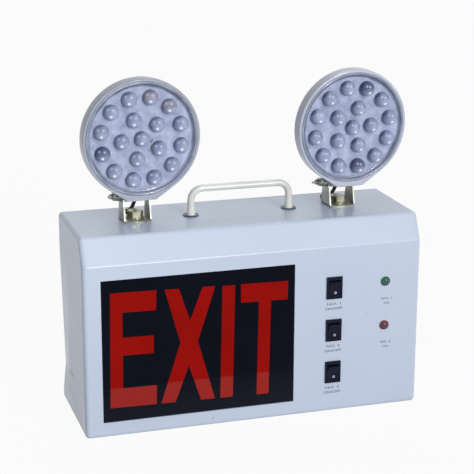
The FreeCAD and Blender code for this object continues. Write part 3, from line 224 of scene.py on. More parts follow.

# %% [markdown]
# ## Marks of use, and painted shade in a dent
# The left wall has been knocked in near its rear edge. Its creases, and the soft hollow below them, are
# darkened with painted shade. There is a small rub under the sign as well. Both could be slim pieces laid on
# the wall, but they have no height, so they are drawn in the paint: a stroke darkens whatever lies near a line.


# %% Where a surface faces
def facing(finish, way):
    """How far the surface faces a direction, from -1 to 1, in the piece's own coordinates."""
    dot = add_node(finish, "VectorMath", operation="DOT_PRODUCT")
    dot.inputs[1].default_value = Vector(way).normalized()
    join_nodes(finish, own_place(finish).outputs["Normal"], dot.inputs[0])
    return dot.outputs["Value"]


def multiply(finish, *values):
    """The product of some values."""
    result = values[0]
    for value in values[1:]:
        product = add_node(finish, "Math", operation="MULTIPLY")
        join_nodes(finish, result, product.inputs[0])
        join_nodes(finish, value, product.inputs[1])
        result = product.outputs[0]
    return result


# %% A stroke in the paint
def draw_stroke(finish, start, end, wide, wall, tone, amount):
    """Darkens the paint along a line in millimetres on the wall that faces a direction."""
    start, end = Vector(start) * MM, Vector(end) * MM
    along, middle = (end - start).normalized(), (start + end) / 2
    offset = add_node(finish, "VectorMath", operation="SUBTRACT")
    join_nodes(finish, own_place(finish).outputs["Object"], offset.inputs[0])
    offset.inputs[1].default_value = middle
    reach = {}
    for name, way in (("across", along.cross(Vector(wall))), ("along", along)):
        dot = add_node(finish, "VectorMath", operation="DOT_PRODUCT")
        join_nodes(finish, offset.outputs["Vector"], dot.inputs[0])
        dot.inputs[1].default_value = way
        size = add_node(finish, "Math", operation="ABSOLUTE")
        join_nodes(finish, dot.outputs["Value"], size.inputs[0])
        reach[name] = size.outputs[0]
    half = (end - start).length / 2
    tint_more(finish, tone, multiply(finish, between(finish, reach["across"], amount, 0, 0, wide * MM / 2),
                                     between(finish, reach["along"], 1, 0, half * 0.4, half),
                                     between(finish, facing(finish, wall), 0, 1, 0.5, 0.8)))


# %% Painted shade in the creases of the dent, and the rub
LEFT_WALL, FRONT_WALL = (-1, 0, 0), (0, -1, 0)
# one tone serves both the painted shade in the dent and the rub under the sign
CREASE_SHADE_AND_RUB = shade(84, 90, 104)
# each stroke's two ends, its width, the wall it is on, and how dark it gets
# the first three strokes are painted shade in the creases and in the hollow below the dent; the last is the rub
STROKES = [((-160, 42, 36.6), (-160, 16, 35.4), 5, LEFT_WALL, 0.95),
           ((-160, 28, 38.6), (-160, -6, 42.4), 5, LEFT_WALL, 0.9),
           ((-160, 40, 31), (-160, 4, 16), 16, LEFT_WALL, 0.3),
           ((-41.8, -54, 4.4), (-41.8, -54, 9.6), 1.3, FRONT_WALL, 0.7)]
for start, end, wide, wall, amount in STROKES:
    draw_stroke(BOX_FINISH, start, end, wide, wall, CREASE_SHADE_AND_RUB, amount)
dress(BOX_FINISH, "front_cover", "rear_cover")

# %% [markdown]
# ## The black sign sheet
# The sign is a sheet of glossy black acrylic. It is nearly black everywhere, so its look is all in the
# reflection: very smooth, with a faint blue in the black and slow patches that change the gloss. Its foot
# carries a
# painted reflection: a faint pale band with a sharp upper edge, and a broader, fainter one that fades out
# upwards. That could be a thin pane in front, but laying one colour over another by height does the same
# without a piece that could flicker against the sheet.

# %% Sign sheet and what is behind it
def paint_low_reflection(finish, tone, amount, low=0.0455, high=0.0468):
    """Lays a painted reflection over the foot of the sign, full below the height low and gone above high, in
    metres.
    """
    tint_more(finish, tone, between(finish, own_axis(finish, "Z"), amount, 0, low, high))


SIGN_BLACK = make_finish("glossy_black_acrylic", shade(5, 8, 18), shade(10, 14, 27), patches=12,
                         gloss=(0.08, 0.2), grain=60, height=0.015, specular_ior_level=0.05)
# painted reflection: a faint pale band with a sharp upper edge, and a broader, fainter one that fades out
# upwards
paint_low_reflection(SIGN_BLACK, shade(60, 62, 74), 0.04)
paint_low_reflection(SIGN_BLACK, shade(60, 60, 72), 0.12, 0.012, 0.045)
SPREADER_WHITE = make_finish("milky_light_spreader", shade(214, 214, 212), shade(228, 228, 226), patches=30,
                             gloss=(0.5, 0.6), grain=2500, subsurface_weight=0.1)
dress(SIGN_BLACK, "sign_panel")
dress(SPREADER_WHITE, "sign_diffuser")

# %% [markdown]
# ## Plated steel
# Three platings meet here. Plain zinc is grey with a flowery crystal pattern, yellow chromate drifts between
# olive, straw and a hint of rose because its film changes thickness, and the blackened washers are nearly
# matte. Cells of a Voronoi noise would draw the crystals, but at this size fine patches of noise are enough.

# %% Metals
ZINC = make_finish("bright_zinc_plate", shade(150, 154, 160), shade(196, 199, 204), patches=160,
                   gloss=(0.28, 0.42), grain=2600, metallic=0.9)
YELLOW_ZINC = make_finish("olive_chromate_zinc", shade(128, 130, 121), shade(188, 189, 180), patches=70,
                          gloss=(0.34, 0.48), grain=2200, metallic=0.75)
GOLD_ZINC = make_finish("straw_chromate_zinc", shade(108, 108, 94), shade(172, 171, 150), patches=90,
                        gloss=(0.32, 0.44), grain=2200, metallic=0.7)
BLACK_STEEL = make_finish("blackened_steel", shade(58, 64, 78), shade(84, 92, 108), patches=120,
                          gloss=(0.4, 0.55), grain=2400, metallic=0.4)
BRASS = make_finish("bare_brass", shade(178, 146, 74), shade(214, 184, 110), patches=130, gloss=(0.25, 0.4),
                    grain=2600, metallic=1)
dress(ZINC, "cover_screws", "sign_tray", "sign_nuts", "handle_nuts", "base_nuts", "floor_nuts", "board_screws",
      "battery_strap")
dress(BLACK_STEEL, "handle_washers")
dress(BRASS, "switch_terminals")
for side in ("left", "right"):
    dress(YELLOW_ZINC, f"{side}_bracket", f"{side}_wing_nut", f"{side}_pivot_washer")
    dress(GOLD_ZINC, f"{side}_pivot_bolt")
dress(GOLD_ZINC, "base_bolts", "base_washers")

# %% [markdown]
# ## The handle
# The handle is a bent rod under cream lacquer, thick enough to round every highlight. The drift is slow and
# the gloss high, and the cream is warm beside the cold box.

# %% Handle lacquer
CREAM = make_finish("cream_lacquer", shade(211, 212, 202), shade(227, 227, 219), patches=35,
                    gloss=(0.2, 0.3), grain=700, height=0.03, coat_weight=0.3, coat_roughness=0.1)
dress(CREAM, "handle")

# %% [markdown]
# ## Switches, indicators and rubber
# The rockers and their bezels are one blue-black plastic with a fine spark-eroded grain. The indicators are
# tinted mouldings over a light: green and dark red, both glossy, with the tint deeper where the dome is
# thick. Rubber is the one surface here with almost no gloss.

# %% Plastics and rubber
SWITCH_BLACK = make_finish("blue_black_plastic", shade(9, 13, 31), shade(15, 21, 43), patches=60,
                           gloss=(0.3, 0.42), grain=5000, height=0.012, specular_ior_level=0.12)
RUBBER = make_finish("black_rubber", shade(22, 22, 24), shade(36, 36, 38), patches=90, gloss=(0.6, 0.75),
                     grain=3000)
for number in (1, 2, 3):
    dress(SWITCH_BLACK, f"switch_{number}_body", f"switch_{number}_rocker")
dress(RUBBER, "mains_grommet", "lead_grommets")

# %% [markdown]
# ## What is inside
# Nothing here shows in daily use, but the part can be opened, so the inside gets its own finishes too: a
# dull black battery case, a laminated core with its tape-wrapped coil, and green circuit boards. The core's
# sheets are a grain stretched flat, which costs nothing beside modelling every sheet.

# %% Inside finishes
BATTERY_BLACK = make_finish("moulded_battery_case", shade(34, 34, 38), shade(52, 52, 56), patches=40,
                            gloss=(0.45, 0.6), grain=2500)
CORE_STEEL = make_finish("laminated_core", shade(92, 90, 88), shade(150, 148, 146), patches=60,
                         gloss=(0.35, 0.55), grain=900, stretch=(0.05, 1, 0.05), metallic=0.8)
COIL_TAPE = make_finish("amber_coil_tape", shade(186, 140, 62), shade(214, 172, 92), patches=90,
                        gloss=(0.25, 0.4), grain=900, stretch=(0.2, 0.2, 1))
BOARD_GREEN = make_finish("green_solder_mask", shade(20, 78, 48), shade(34, 104, 66), patches=180,
                          gloss=(0.25, 0.4), grain=2600)
STRIP_WHITE = make_finish("white_strip_board", shade(206, 208, 210), shade(226, 228, 230), patches=150,
                          gloss=(0.35, 0.5), grain=2600)
GREY_NYLON = make_finish("natural_nylon", shade(196, 192, 180), shade(214, 211, 200), patches=90,
                         gloss=(0.4, 0.5), grain=2600)
dress(BATTERY_BLACK, "battery")
dress(CORE_STEEL, "transformer_core")
dress(COIL_TAPE, "transformer_coil")
dress(BOARD_GREEN, "charger_board")
dress(STRIP_WHITE, "sign_led_strips")
dress(GREY_NYLON, "board_spacers", "indicator_rings")

# %% [markdown]
# ## Building pieces from points
# The fine pieces below are meshes made in code. Each starts as a list of points and faces in millimetres,
# which one function turns into a smooth object that rides on a moving part of the frame.


# %% A mesh that rides on a body
def make_piece(name, points, faces, body, finishes, slots=None, smooth=True):
    """A mesh of points in millimetres. slots gives each face the number of its finish."""
    mesh = bpy.data.meshes.new(name)
    mesh.from_pydata([Vector(point) * MM for point in points], [], faces)
    for finish in finishes:
        mesh.materials.append(finish)
    for number, face in enumerate(mesh.polygons):
        face.use_smooth = smooth
        face.material_index = slots[number] if slots else 0
    mesh.update()
    piece = bpy.data.objects.new(name, mesh)
    bpy.context.scene.collection.objects.link(piece)
    if body:
        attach(piece, body)
    return piece


def count_faces(piece):
    piece.data.calc_loop_triangles()
    return len(piece.data.loop_triangles)


# %% [markdown]
# ## The four letters
# On the real sign the letters are clear red windows left in the black print. They could be painted by a
# pattern in the sheet's own finish, but a thin raised film with its own outline keeps a crisp edge at any
# distance. Each letter is a closed outline, filled, and given a tenth of a millimetre of height. The print
# stands one degree out of square, as a film laid by hand does.

# %% Letter outlines, in millimetres from the middle of the sign
LETTERS = {
    "E": [(-82.6, 53.2), (-40.6, 53.2), (-40.8, 34.6), (-71.4, 34.6), (-71.2, 11.2), (-42.8, 11.2),
          (-42.8, -5.7), (-70.9, -5.7), (-70.8, -36.6), (-39.6, -36.6), (-39.6, -54.9), (-82.3, -54.9)],
    "X": [(-33.2, 53.0), (-20.0, 53.0), (-9.3, 22.4), (2.0, 53.0), (13.8, 53.0), (-1.7, 2.2), (15.2, -54.9),
          (2.0, -54.9), (-9.9, -20.6), (-22.0, -54.9), (-35.4, -54.9), (-18.0, 2.2)],
    "I": [(20.5, 52.6), (32.5, 52.6), (32.3, -54.9), (20.4, -54.9)],
    "T": [(38.0, 52.8), (83.0, 52.8), (83.0, 35.2), (67.0, 35.2), (66.9, -55.0), (55.3, -55.0), (55.3, 35.2),
          (38.4, 35.2)],
}
PRINT_TURN = math.radians(-1.0)
FILM = 0.1


def film_letter(outline, middle, front):
    """The points and faces of one letter: a face in front and a narrow wall round it."""
    turn = Matrix.Rotation(PRINT_TURN, 2)
    flat = [turn @ Vector(corner) for corner in outline]
    count = len(flat)
    points = [(middle[0] + x, front - depth, middle[1] + y) for depth in (FILM, 0) for x, y in flat]
    walls = [(count + number, count + (number + 1) % count, (number + 1) % count, number)
             for number in range(count)]
    return points, [tuple(reversed(range(count)))] + walls


# %% The red film
RED_FILM = make_finish("red_letter_film", shade(142, 11, 5), shade(156, 15, 8), patches=14,
                       gloss=(0.16, 0.28), grain=1200, height=0.01, specular_ior_level=0.04)
# the same painted reflection band lies over the foot of the letters
paint_low_reflection(RED_FILM, shade(158, 60, 54), 0.44)
sheet_low, sheet_high = (corner * 1000 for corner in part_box("sign_panel"))
sign_middle = ((sheet_low.x + sheet_high.x) / 2, (sheet_low.z + sheet_high.z) / 2)
points, faces = [], []
for outline in LETTERS.values():
    more_points, more_faces = film_letter(outline, sign_middle, sheet_low.y)
    faces += [tuple(len(points) + corner for corner in face) for face in more_faces]
    points += more_points
letters = make_piece("sign_letters", points, faces, "housing", [RED_FILM], smooth=False)
print("the letters stand", round(max(p[2] for p in points) - min(p[2] for p in points), 1), "mm high")

# %% [markdown]
# ## Printed labels
# Small grey words are screen-printed beside each control. Blender's own text object gives the outlines, and
# a conversion to a mesh lets the print lie a few hundredths of a millimetre proud of the paint, like ink.

# %% Screen-printed words
LABEL_INK = make_finish("grey_label_ink", shade(62, 68, 86), shade(86, 92, 110), patches=400,
                        gloss=(0.5, 0.6), grain=3000)
INK = 0.04       # the ink's thickness
BOLDER = 0.012   # how far each stroke is widened, as a share of the type's size


def printed_words(name, lines, x, front):
    """Lines of words on the front. Each line is its text, its height on the box, its cap height and width."""
    points, faces = [], []
    for text, z, tall, wide in lines:
        curve = bpy.data.curves.new(name, "FONT")
        curve.body, curve.align_x, curve.resolution_u, curve.offset = text, "CENTER", 3, BOLDER
        writing = bpy.data.objects.new(name, curve)
        bpy.context.scene.collection.objects.link(writing)
        bpy.context.view_layer.update()
        mesh = bpy.data.meshes.new_from_object(writing)
        across = [vertex.co.x for vertex in mesh.vertices]
        up = [vertex.co.y for vertex in mesh.vertices]
        grow_x, grow_z = wide / (max(across) - min(across)), tall / (max(up) - min(up))
        middle_x, middle_z = (max(across) + min(across)) / 2, (max(up) + min(up)) / 2
        faces += [tuple(len(points) + corner for corner in face.vertices) for face in mesh.polygons]
        points += [(x + (vertex.co.x - middle_x) * grow_x, front - INK, z + (vertex.co.y - middle_z) * grow_z)
                   for vertex in mesh.vertices]
        bpy.data.objects.remove(writing)
        bpy.data.meshes.remove(mesh)
    return make_piece(name, points, faces, "housing", [LABEL_INK], smooth=False)


# %% The labels of the switches and the indicators
# each line's drop, cap height and width: below the foot of a switch, or below the middle of an indicator
SWITCH_LINES = ((5.2, 2.4, 13.5), (9.8, 2.4, 17))
INDICATOR_LINES = ((17, 2.1, 10.5), (21.7, 2.1, 5.6))
INDICATOR_LABEL_ASIDE = 2


def label_lines(words, top, lines):
    return [(word, top - drop, tall, wide) for word, (drop, tall, wide) in zip(words, lines)]


face_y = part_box("front_cover")[0].y * 1000
switch_x = sum(corner.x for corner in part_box("switch_1_body")) * 500
for number in (1, 2, 3):
    low, high = (corner * 1000 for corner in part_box(f"switch_{number}_body"))
    printed_words(f"switch_{number}_label", label_lines((f"NO. {number}", "ON/OFF"), low.z, SWITCH_LINES),
                  switch_x, face_y)
for name, number in (("green", 1), ("red", 2)):
    low, high = (corner * 1000 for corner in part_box(f"{name}_indicator"))
    middle_z = (low.z + high.z) / 2
    printed_words(f"{name}_indicator_label", label_lines((f"NO. {number}", "ON"), middle_z, INDICATOR_LINES),
                  (low.x + high.x) / 2 + INDICATOR_LABEL_ASIDE, face_y)
print("printed the labels of three switches and two indicators")

# %% [markdown]
# ## The lamp heads
# Each head is a white moulded bowl. It is thin enough that some light goes into the plastic before it comes
# back, which subsurface scattering copies: without it the bowl looks like chalk. Near the front edge the faces
# turned upwards are greyer, on the left rim more than the right. The chip board behind the lens is white, and
# the chips on it share its finish.

# %% Head plastic and chip board
RIM_GREY = shade(132, 136, 146)
RIM_DEEP, RIM_END = 0.012, 0.02   # from the front edge, the grey is full up to the first and gone at the second


def make_head_finish(side, amount):
    """White plastic whose rim is greyer on the faces turned upwards."""
    finish = make_finish(f"{side}_lamp_moulding", shade(184, 190, 204), shade(205, 211, 224), patches=30,
                         gloss=(0.2, 0.32), grain=1200, height=0.015, subsurface_weight=0.08,
                         subsurface_scale=0.004, coat_weight=0.2, coat_roughness=0.1)
    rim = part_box(f"{side}_lamp_housing")[0].y
    upwards = between(finish, facing(finish, (0, 0, 1)), 0, amount, -0.5, 0.3)
    near_rim = between(finish, own_axis(finish, "Y"), 1, 0, rim + RIM_DEEP, rim + RIM_END)
    tint_more(finish, RIM_GREY, multiply(finish, upwards, near_rim))
    return finish


BOARD_WHITE = make_finish("white_solder_mask", shade(204, 202, 214), shade(222, 220, 230), patches=80,
                          gloss=(0.35, 0.5), grain=2600)
for side, amount in (("left", 0.8), ("right", 0.15)):
    dress(make_head_finish(side, amount), f"{side}_lamp_housing")
    dress(BOARD_WHITE, f"{side}_lamp_board")

# %% [markdown]
# ## Where a lamp head stands
# A head is turned a few degrees about the upright bolt and leans back a little on its pivot. Points of the
# lens are easiest to give as if the head stood square, so one matrix a side carries them to their place.


# %% Square head to real head
HEAD_ANGLES = {"left": (2.6, 1.4), "right": (4.2, 3.1)}   # turn and lean, in degrees


def head_place(side):
    """From a square head, in millimetres from the middle of its pivot, to the part's own frame."""
    joints = {joint["name"]: joint for joint in frame["joints"]}
    pivot = Vector(joints[f"{side}_tilt"]["pos_m"]) * 1000
    turn, lean = HEAD_ANGLES[side]
    return (Matrix.Translation(pivot) @ Matrix.Rotation(math.radians(turn), 4, "Z")
            @ Matrix.Rotation(math.radians(lean), 4, "X"))


# %% Where the domes are
LENS_UP = 57.5       # from the pivot up to the middle of the lens
LENS_FRONT = -26.6   # from the pivot to the front edge of the lens
DOME = 6.9           # a dome's radius
# each ring's radius, the turn of its first dome in degrees, and its count
RINGS = {"left": ((37.6, -17.6, 12), (18.5, -22.5, 5), (0, 0, 1)),
         "right": ((37.6, -10.6, 12), (18.5, 15.3, 5), (0, 0, 1))}


def dome_middles(side):
    """The middle of each dome of a square head, as X and Z from the pivot."""
    for radius, turn, count in RINGS[side]:
        for number in range(count):
            angle = math.radians(turn + 360 * number / count)
            yield radius * math.sin(angle), LENS_UP + radius * math.cos(angle)


print("each lens has", len(list(dome_middles("left"))), "domes")

# %% [markdown]
# ## The moulded lens
# The lens is the piece that the eye goes to: a clear cap with eighteen domes over the chips, a ring of painted
# shade where its inner wall meets the face, and a translucent rim. True glass over a white board needs a great
# many light rays to come out clean. So the lens is built as a skin whose colour already holds what the light
# does inside, as painted shade and painted highlights: each zone of its profile has its own finish, from the
# pearly plate to the rim.

# %% Lens finishes
LENS_PLATE = make_finish("pearly_lens_plate", shade(150, 160, 189), shade(190, 198, 221), patches=120,
                         gloss=(0.2, 0.35), grain=500, height=0.03)
# a ring of painted shade in the corner where the cap's inner wall meets the face
LENS_RING_SHADE = make_finish("shaded_lens_ring", shade(96, 102, 124), shade(154, 162, 188), patches=60,
                        gloss=(0.15, 0.3), grain=700)
LENS_RIM = make_finish("translucent_lens_rim", shade(124, 131, 150), shade(168, 175, 194), patches=70,
                       gloss=(0.12, 0.25), grain=700, coat_weight=0.2, coat_roughness=0.08)
print("mixed", LENS_PLATE.name, LENS_RING_SHADE.name, LENS_RIM.name)


# %% Dome finishes
def make_dome_finish(name, body, crescent, highlights, spot, strength):
    """Tinted by body, with painted shade on a crescent of some strength and at the dome's edge, painted light
    on its lower part, two painted highlights and a painted spot of gathered light. The crescent, the highlights
    and the spot are directions in which the dome's surface faces."""
    finish = make_finish(name, *body, patches=150, gloss=(0.1, 0.2), grain=400, height=0.01,
                         specular_ior_level=0.06)
    shader = finish.node_tree.nodes["Principled BSDF"]
    colour = shader.inputs["Base Color"].links[0].from_socket
    # painted shade at the dome's edge, where its surface turns away from the front
    foot = between(finish, facing(finish, (0, -1, 0)), 0.4, 0, 0.05, 0.45)
    colour = lay_over(finish, colour, shade(104, 112, 142), foot)
    # painted light on the dome's lower part, standing for light gathered inside it
    low = between(finish, facing(finish, (0.1, -0.35, -0.93)), 0, 0.75, 0.1, 0.95)
    colour = lay_over(finish, colour, shade(186, 195, 222), low)
    # painted shade on the crescent
    dark = between(finish, facing(finish, crescent), 0, strength, 0.82, 0.97)
    colour = lay_over(finish, colour, shade(70, 76, 102), dark)
    # two small painted highlights
    for way in highlights:
        highlight = between(finish, facing(finish, way), 0, 0.55, 0.982, 0.994)
        colour = lay_over(finish, colour, shade(220, 224, 244), highlight)
    # a painted spot of gathered light
    bright = between(finish, facing(finish, spot), 0, 1, 0.968, 0.99)
    colour = lay_over(finish, colour, shade(250, 252, 255), bright)
    join_nodes(finish, colour, shader.inputs["Base Color"])
    return finish


# %% Tints, and where each side's domes carry their painted highlights and shade
DOME_TINTS = {"grey": (shade(136, 145, 173), shade(168, 176, 203)),
              "dark": (shade(86, 94, 122), shade(112, 120, 148)),
              "warm": (shade(126, 132, 158), shade(180, 178, 180)),
              "pale": (shade(158, 170, 196), shade(178, 188, 214))}
PAINTED_DOME_LIGHT = {"left": {"crescent": (-0.25, -0.2, 0.95), "highlights": ((-0.57, -0.64, 0.51), (0.08, -0.89, 0.45)),
                   "spot": (-0.22, -0.93, -0.42), "strength": 0.4},
          "right": {"crescent": (-0.75, -0.15, 0.64), "highlights": ((-0.33, -0.82, 0.46), (0.08, -0.91, 0.4)),
                    "spot": (0.1, -0.9, -0.5), "strength": 0.65}}
# the domes that aren't grey, by their number from the first of the outer ring
ODD_DOMES = {"left": {9: "dark", 1: "warm", 2: "warm"}, "right": {6: "dark", 10: "pale", 1: "dark"}}
print("domes that aren't grey:", ODD_DOMES)

# %% [markdown]
# ## Turning the lens
# The cap is a profile turned about its own middle, as on a lathe, and every dome is a cap of a sphere set
# into the face. Modelling the domes as one turned shape each keeps their outline round from every side.


# %% Turning a profile
def turned_skin(profile, middle_z, around):
    """Points and faces of a profile of (radius, depth) turned about the lens axis. Radius 0 is a point."""
    points, faces, rings = [], [], []
    for radius, depth in profile:
        ring = []
        for step in range(around if radius else 1):
            angle = 2 * math.pi * step / around
            ring.append(len(points))
            points.append((radius * math.sin(angle), depth, middle_z + radius * math.cos(angle)))
        rings.append(ring)
    for inner, outer in zip(rings, rings[1:]):
        for step in range(around):
            after = (step + 1) % around
            if len(inner) == 1:
                faces.append((inner[0], outer[step], outer[after]))
            else:
                faces.append((inner[step], outer[step], outer[after], inner[after]))
    return points, faces


# %% The profiles of the cap and of a dome
PLATE = LENS_FRONT + 3.4   # the plate between the domes lies behind the front edge
CAP_PROFILE = [(0, PLATE), (46.7, PLATE), (48.5, PLATE - 0.1), (48.9, PLATE - 0.6), (49.3, LENS_FRONT + 0.5),
               (49.8, LENS_FRONT), (50.7, LENS_FRONT), (51.2, LENS_FRONT + 0.2), (51.4, LENS_FRONT + 0.7),
               (51.4, LENS_FRONT + 4)]
CAP_ZONES = [0, 1, 1, 2, 2, 2, 2, 2, 2]   # plate, ring or rim, for each step of the profile
CAP_AROUND, DOME_AROUND = 96, 28
DOME_MIDDLE = LENS_FRONT + 1.2
DOME_PROFILE = [(DOME * math.sin(math.radians(angle)), DOME_MIDDLE - DOME * math.cos(math.radians(angle)))
                for angle in (0, 8, 16, 24, 32, 40, 48, 56, 64, 72, 80, 90)] + [(DOME, PLATE + 0.1)]


# %% Lens meshes
def make_lens(side):
    """The cap and its eighteen domes as one mesh, in place of the plain CAD cap."""
    points, faces = turned_skin(CAP_PROFILE, LENS_UP, CAP_AROUND)
    slots = [zone for zone in CAP_ZONES for _ in range(CAP_AROUND)]
    tints = list(DOME_TINTS)
    finishes = [make_dome_finish(f"{side}_{tint}_dome", DOME_TINTS[tint], **PAINTED_DOME_LIGHT[side]) for tint in tints]
    for number, (x, z) in enumerate(dome_middles(side)):
        dome, skin = turned_skin(DOME_PROFILE, 0, DOME_AROUND)
        faces += [tuple(len(points) + corner for corner in face) for face in skin]
        points += [(dome_x + x, depth, dome_z + z) for dome_x, depth, dome_z in dome]
        slots += [3 + tints.index(ODD_DOMES[side].get(number, "grey"))] * len(skin)
    place = head_place(side)
    lens = make_piece(f"{side}_moulded_lens", [place @ Vector(point) for point in points], faces,
                      f"{side}_head", [LENS_PLATE, LENS_RING_SHADE, LENS_RIM, *finishes], slots)
    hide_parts(f"{side}_lens_cap")
    return lens


for side in ("left", "right"):
    print(side, "lens:", count_faces(make_lens(side)), "triangles")

# %% [markdown]
# ## The lamp leads
# A black two-core lead leaves the neck of each head, dips, and goes down through a grommet in the top. It is
# one lead of a fixed length on the real part. It crosses two joints here, and a piece can bend across
# only one, so it is drawn as two lengths that meet in the bracket, where both follow the bracket alone.


# %% Lead paths and tubes
def smooth_path(corners, steps):
    """A Catmull-Rom curve through the corners."""
    path = []
    spots = [corners[0] * 2 - corners[1], *corners, corners[-1] * 2 - corners[-2]]
    for before, start, end, after in zip(spots, spots[1:], spots[2:], spots[3:]):
        for step in range(steps):
            t = step / steps
            path.append(0.5 * (2 * start + (end - before) * t
                               + (2 * before - 5 * start + 4 * end - after) * t ** 2
                               + (3 * start - before - 3 * end + after) * t ** 3))
    return path + [corners[-1]]


def tube(path, radius, around=14):
    """Points and faces of a round tube with closed ends along a path."""
    points, faces = [], []
    side_way = Vector((1, 0, 0))
    for number, spot in enumerate(path):
        ahead = (path[min(number + 1, len(path) - 1)] - path[max(number - 1, 0)]).normalized()
        side_way = (side_way - ahead * side_way.dot(ahead)).normalized()
        third = ahead.cross(side_way)
        for step in range(around):
            angle = 2 * math.pi * step / around
            points.append(spot + (side_way * math.cos(angle) + third * math.sin(angle)) * radius)
    for number in range(len(path) - 1):
        for step in range(around):
            after = (step + 1) % around
            low, high = number * around, (number + 1) * around
            faces.append((low + step, low + after, high + after, high + step))
    faces.append(tuple(reversed(range(around))))
    faces.append(tuple(range(len(points) - around, len(points))))
    return points, faces


# %% The two leads
LEAD = 1.8                              # the lead's radius
NECK_EXIT = Vector((2, 6.55, -1.65))    # on the back of the neck, from the pivot of a square head
GROMMET_ASIDE, GROMMET_Y, BOX_TOP = -2.5, 33.5, 185
TURN_ASIDE = Vector((1.6, 0, 0))        # the lead bends aside as it leaves the neck
DIP = Vector((4.2, -6.2, 6.6))          # its last bend above the grommet
BELOW_TOP, TAIL = Vector((0, 0, -1)), Vector((0, 0, -11))
MEET = 24                               # the point of the path where its two lengths meet
LEAD_BLACK = make_finish("black_lead_sheath", shade(16, 16, 20), shade(30, 30, 34), patches=80,
                         gloss=(0.4, 0.55), grain=2400, stretch=(1, 1, 0.3))


def make_lead(side):
    """From inside the neck to inside the box, in two lengths."""
    head = head_place(side)
    start = head @ NECK_EXIT
    way = (head.to_3x3() @ Vector((0, 1, -1))).normalized()
    grommet = Vector((head.translation.x + GROMMET_ASIDE, GROMMET_Y, BOX_TOP))
    path = smooth_path([start - way * 2, start, start + way * 5 + TURN_ASIDE, grommet + DIP,
                        grommet + BELOW_TOP, grommet + TAIL], 10)
    for name, part, bodies in (("upper", path[:MEET + 1], ("fork", "head")),
                               ("lower", path[MEET:], ("housing", "fork"))):
        points, faces = tube(part, LEAD)
        piece = make_piece(f"{side}_lead_{name}", points, faces, None, [LEAD_BLACK])
        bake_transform(piece)
        if name == "lower":
            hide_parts(f"{side}_lamp_lead")
    length = sum((after - before).length for before, after in zip(path, path[1:]))
    print(side, "lead:", round(length, 1), "mm")


for side in ("left", "right"):
    make_lead(side)

# %% [markdown]
# ## The marks on the rockers
# A small white ring is printed on each rocker's lower half. The rocker is dished, so a flat ring
# would sink into it or float over it. Each point of the ring is dropped onto the surface along a ray and
# lifted by the thickness of the ink.


# %% Printed rings
def on_surface(node, x, z, lift):
    """The point of a CAD piece's front at that place, lifted by a thickness. All in millimetres."""
    found, spot, normal, _ = frame["nodes"][node].ray_cast(Vector((x, -100, z)) * MM, Vector((0, 1, 0)))
    if not found:
        raise RuntimeError(f"nothing of {node} is at {x}, {z}")
    return spot / MM + normal * lift


MARK_WHITE = make_finish("white_mark_ink", shade(206, 210, 220), shade(228, 231, 238), patches=500,
                         gloss=(0.45, 0.6), grain=3000)


MARK_ASIDE, MARK_BELOW = 0.8, 4.6   # from the middle of the rocker
MARK_RADII, MARK_THICK = (1.15, 0.7), 0.03


def make_rocker_mark(number, steps=24):
    low, high = (corner * 1000 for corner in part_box(f"switch_{number}_rocker"))
    middle_x, middle_z = (low.x + high.x) / 2 + MARK_ASIDE, (low.z + high.z) / 2 - MARK_BELOW
    points = []
    for radius in MARK_RADII:
        for step in range(steps):
            angle = 2 * math.pi * step / steps
            points.append(on_surface(f"switch_{number}_rocker", middle_x + radius * math.cos(angle),
                                     middle_z + radius * math.sin(angle), MARK_THICK))
    faces = [(step, (step + 1) % steps, steps + (step + 1) % steps, steps + step) for step in range(steps)]
    make_piece(f"switch_{number}_mark", points, faces, f"switch_{number}", [MARK_WHITE], smooth=False)


for number in (1, 2, 3):
    make_rocker_mark(number)
print("printed a ring on each rocker")

# %% [markdown]
# ## A crack inside the left lens
# The plate of the left lens has crazed beside the middle dome. It could be painted by a pattern, but a line
# this fine would blur. So two slim ribbons with pointed ends lie on the plate and draw it: a dark one where
# the plastic has parted, and a broader brownish one below.


# %% Crack
def ribbon(name, spots, wide, body, finish):
    """A flat ribbon with pointed ends through points in millimetres. wide is a vector across it."""
    last = len(spots) - 1
    points = []
    for number, spot in enumerate(spots):
        half = wide * 0.5 * math.sin(math.pi * (number + 0.15) / (last + 0.3))
        points += [spot - half, spot + half]
    faces = [(2 * step, 2 * step + 1, 2 * step + 3, 2 * step + 2) for step in range(last)]
    return make_piece(name, points, faces, body, [finish], smooth=False)


# %% The two ribbons of the crack
# each ribbon's width, its path from the middle of the lens, and its two shades
CRACKS = {"dark": (1.8, ((10.4, -0.6), (9.4, -2.6), (8, -5.4)), (shade(74, 74, 90), shade(110, 110, 126))),
          "brown": (3.2, ((9, -5.4), (8.6, -9), (6.4, -13.5)), (shade(134, 126, 132), shade(172, 164, 166)))}
place = head_place("left")
for tint, (wide, corners, tones) in CRACKS.items():
    finish = make_finish(f"{tint}_crazed_plastic", *tones, patches=200, gloss=(0.3, 0.5), grain=2000)
    path = smooth_path([Vector((x, PLATE - 0.05, LENS_UP + z)) for x, z in corners], 4)
    ribbon(f"left_lens_{tint}_crack", [place @ spot for spot in path], Vector((wide, 0, 0)), "left_head",
           finish)
    print(f"drew the {tint} ribbon of the crack")

# %% [markdown]
# ## The indicators
# Each indicator is one tinted dome. The middle looks dark, because the unlit lamp behind shows
# through, and its edge looks pale, because the thin rim scatters the light. The same direction trick as on
# the lenses draws both from the shape of the dome.


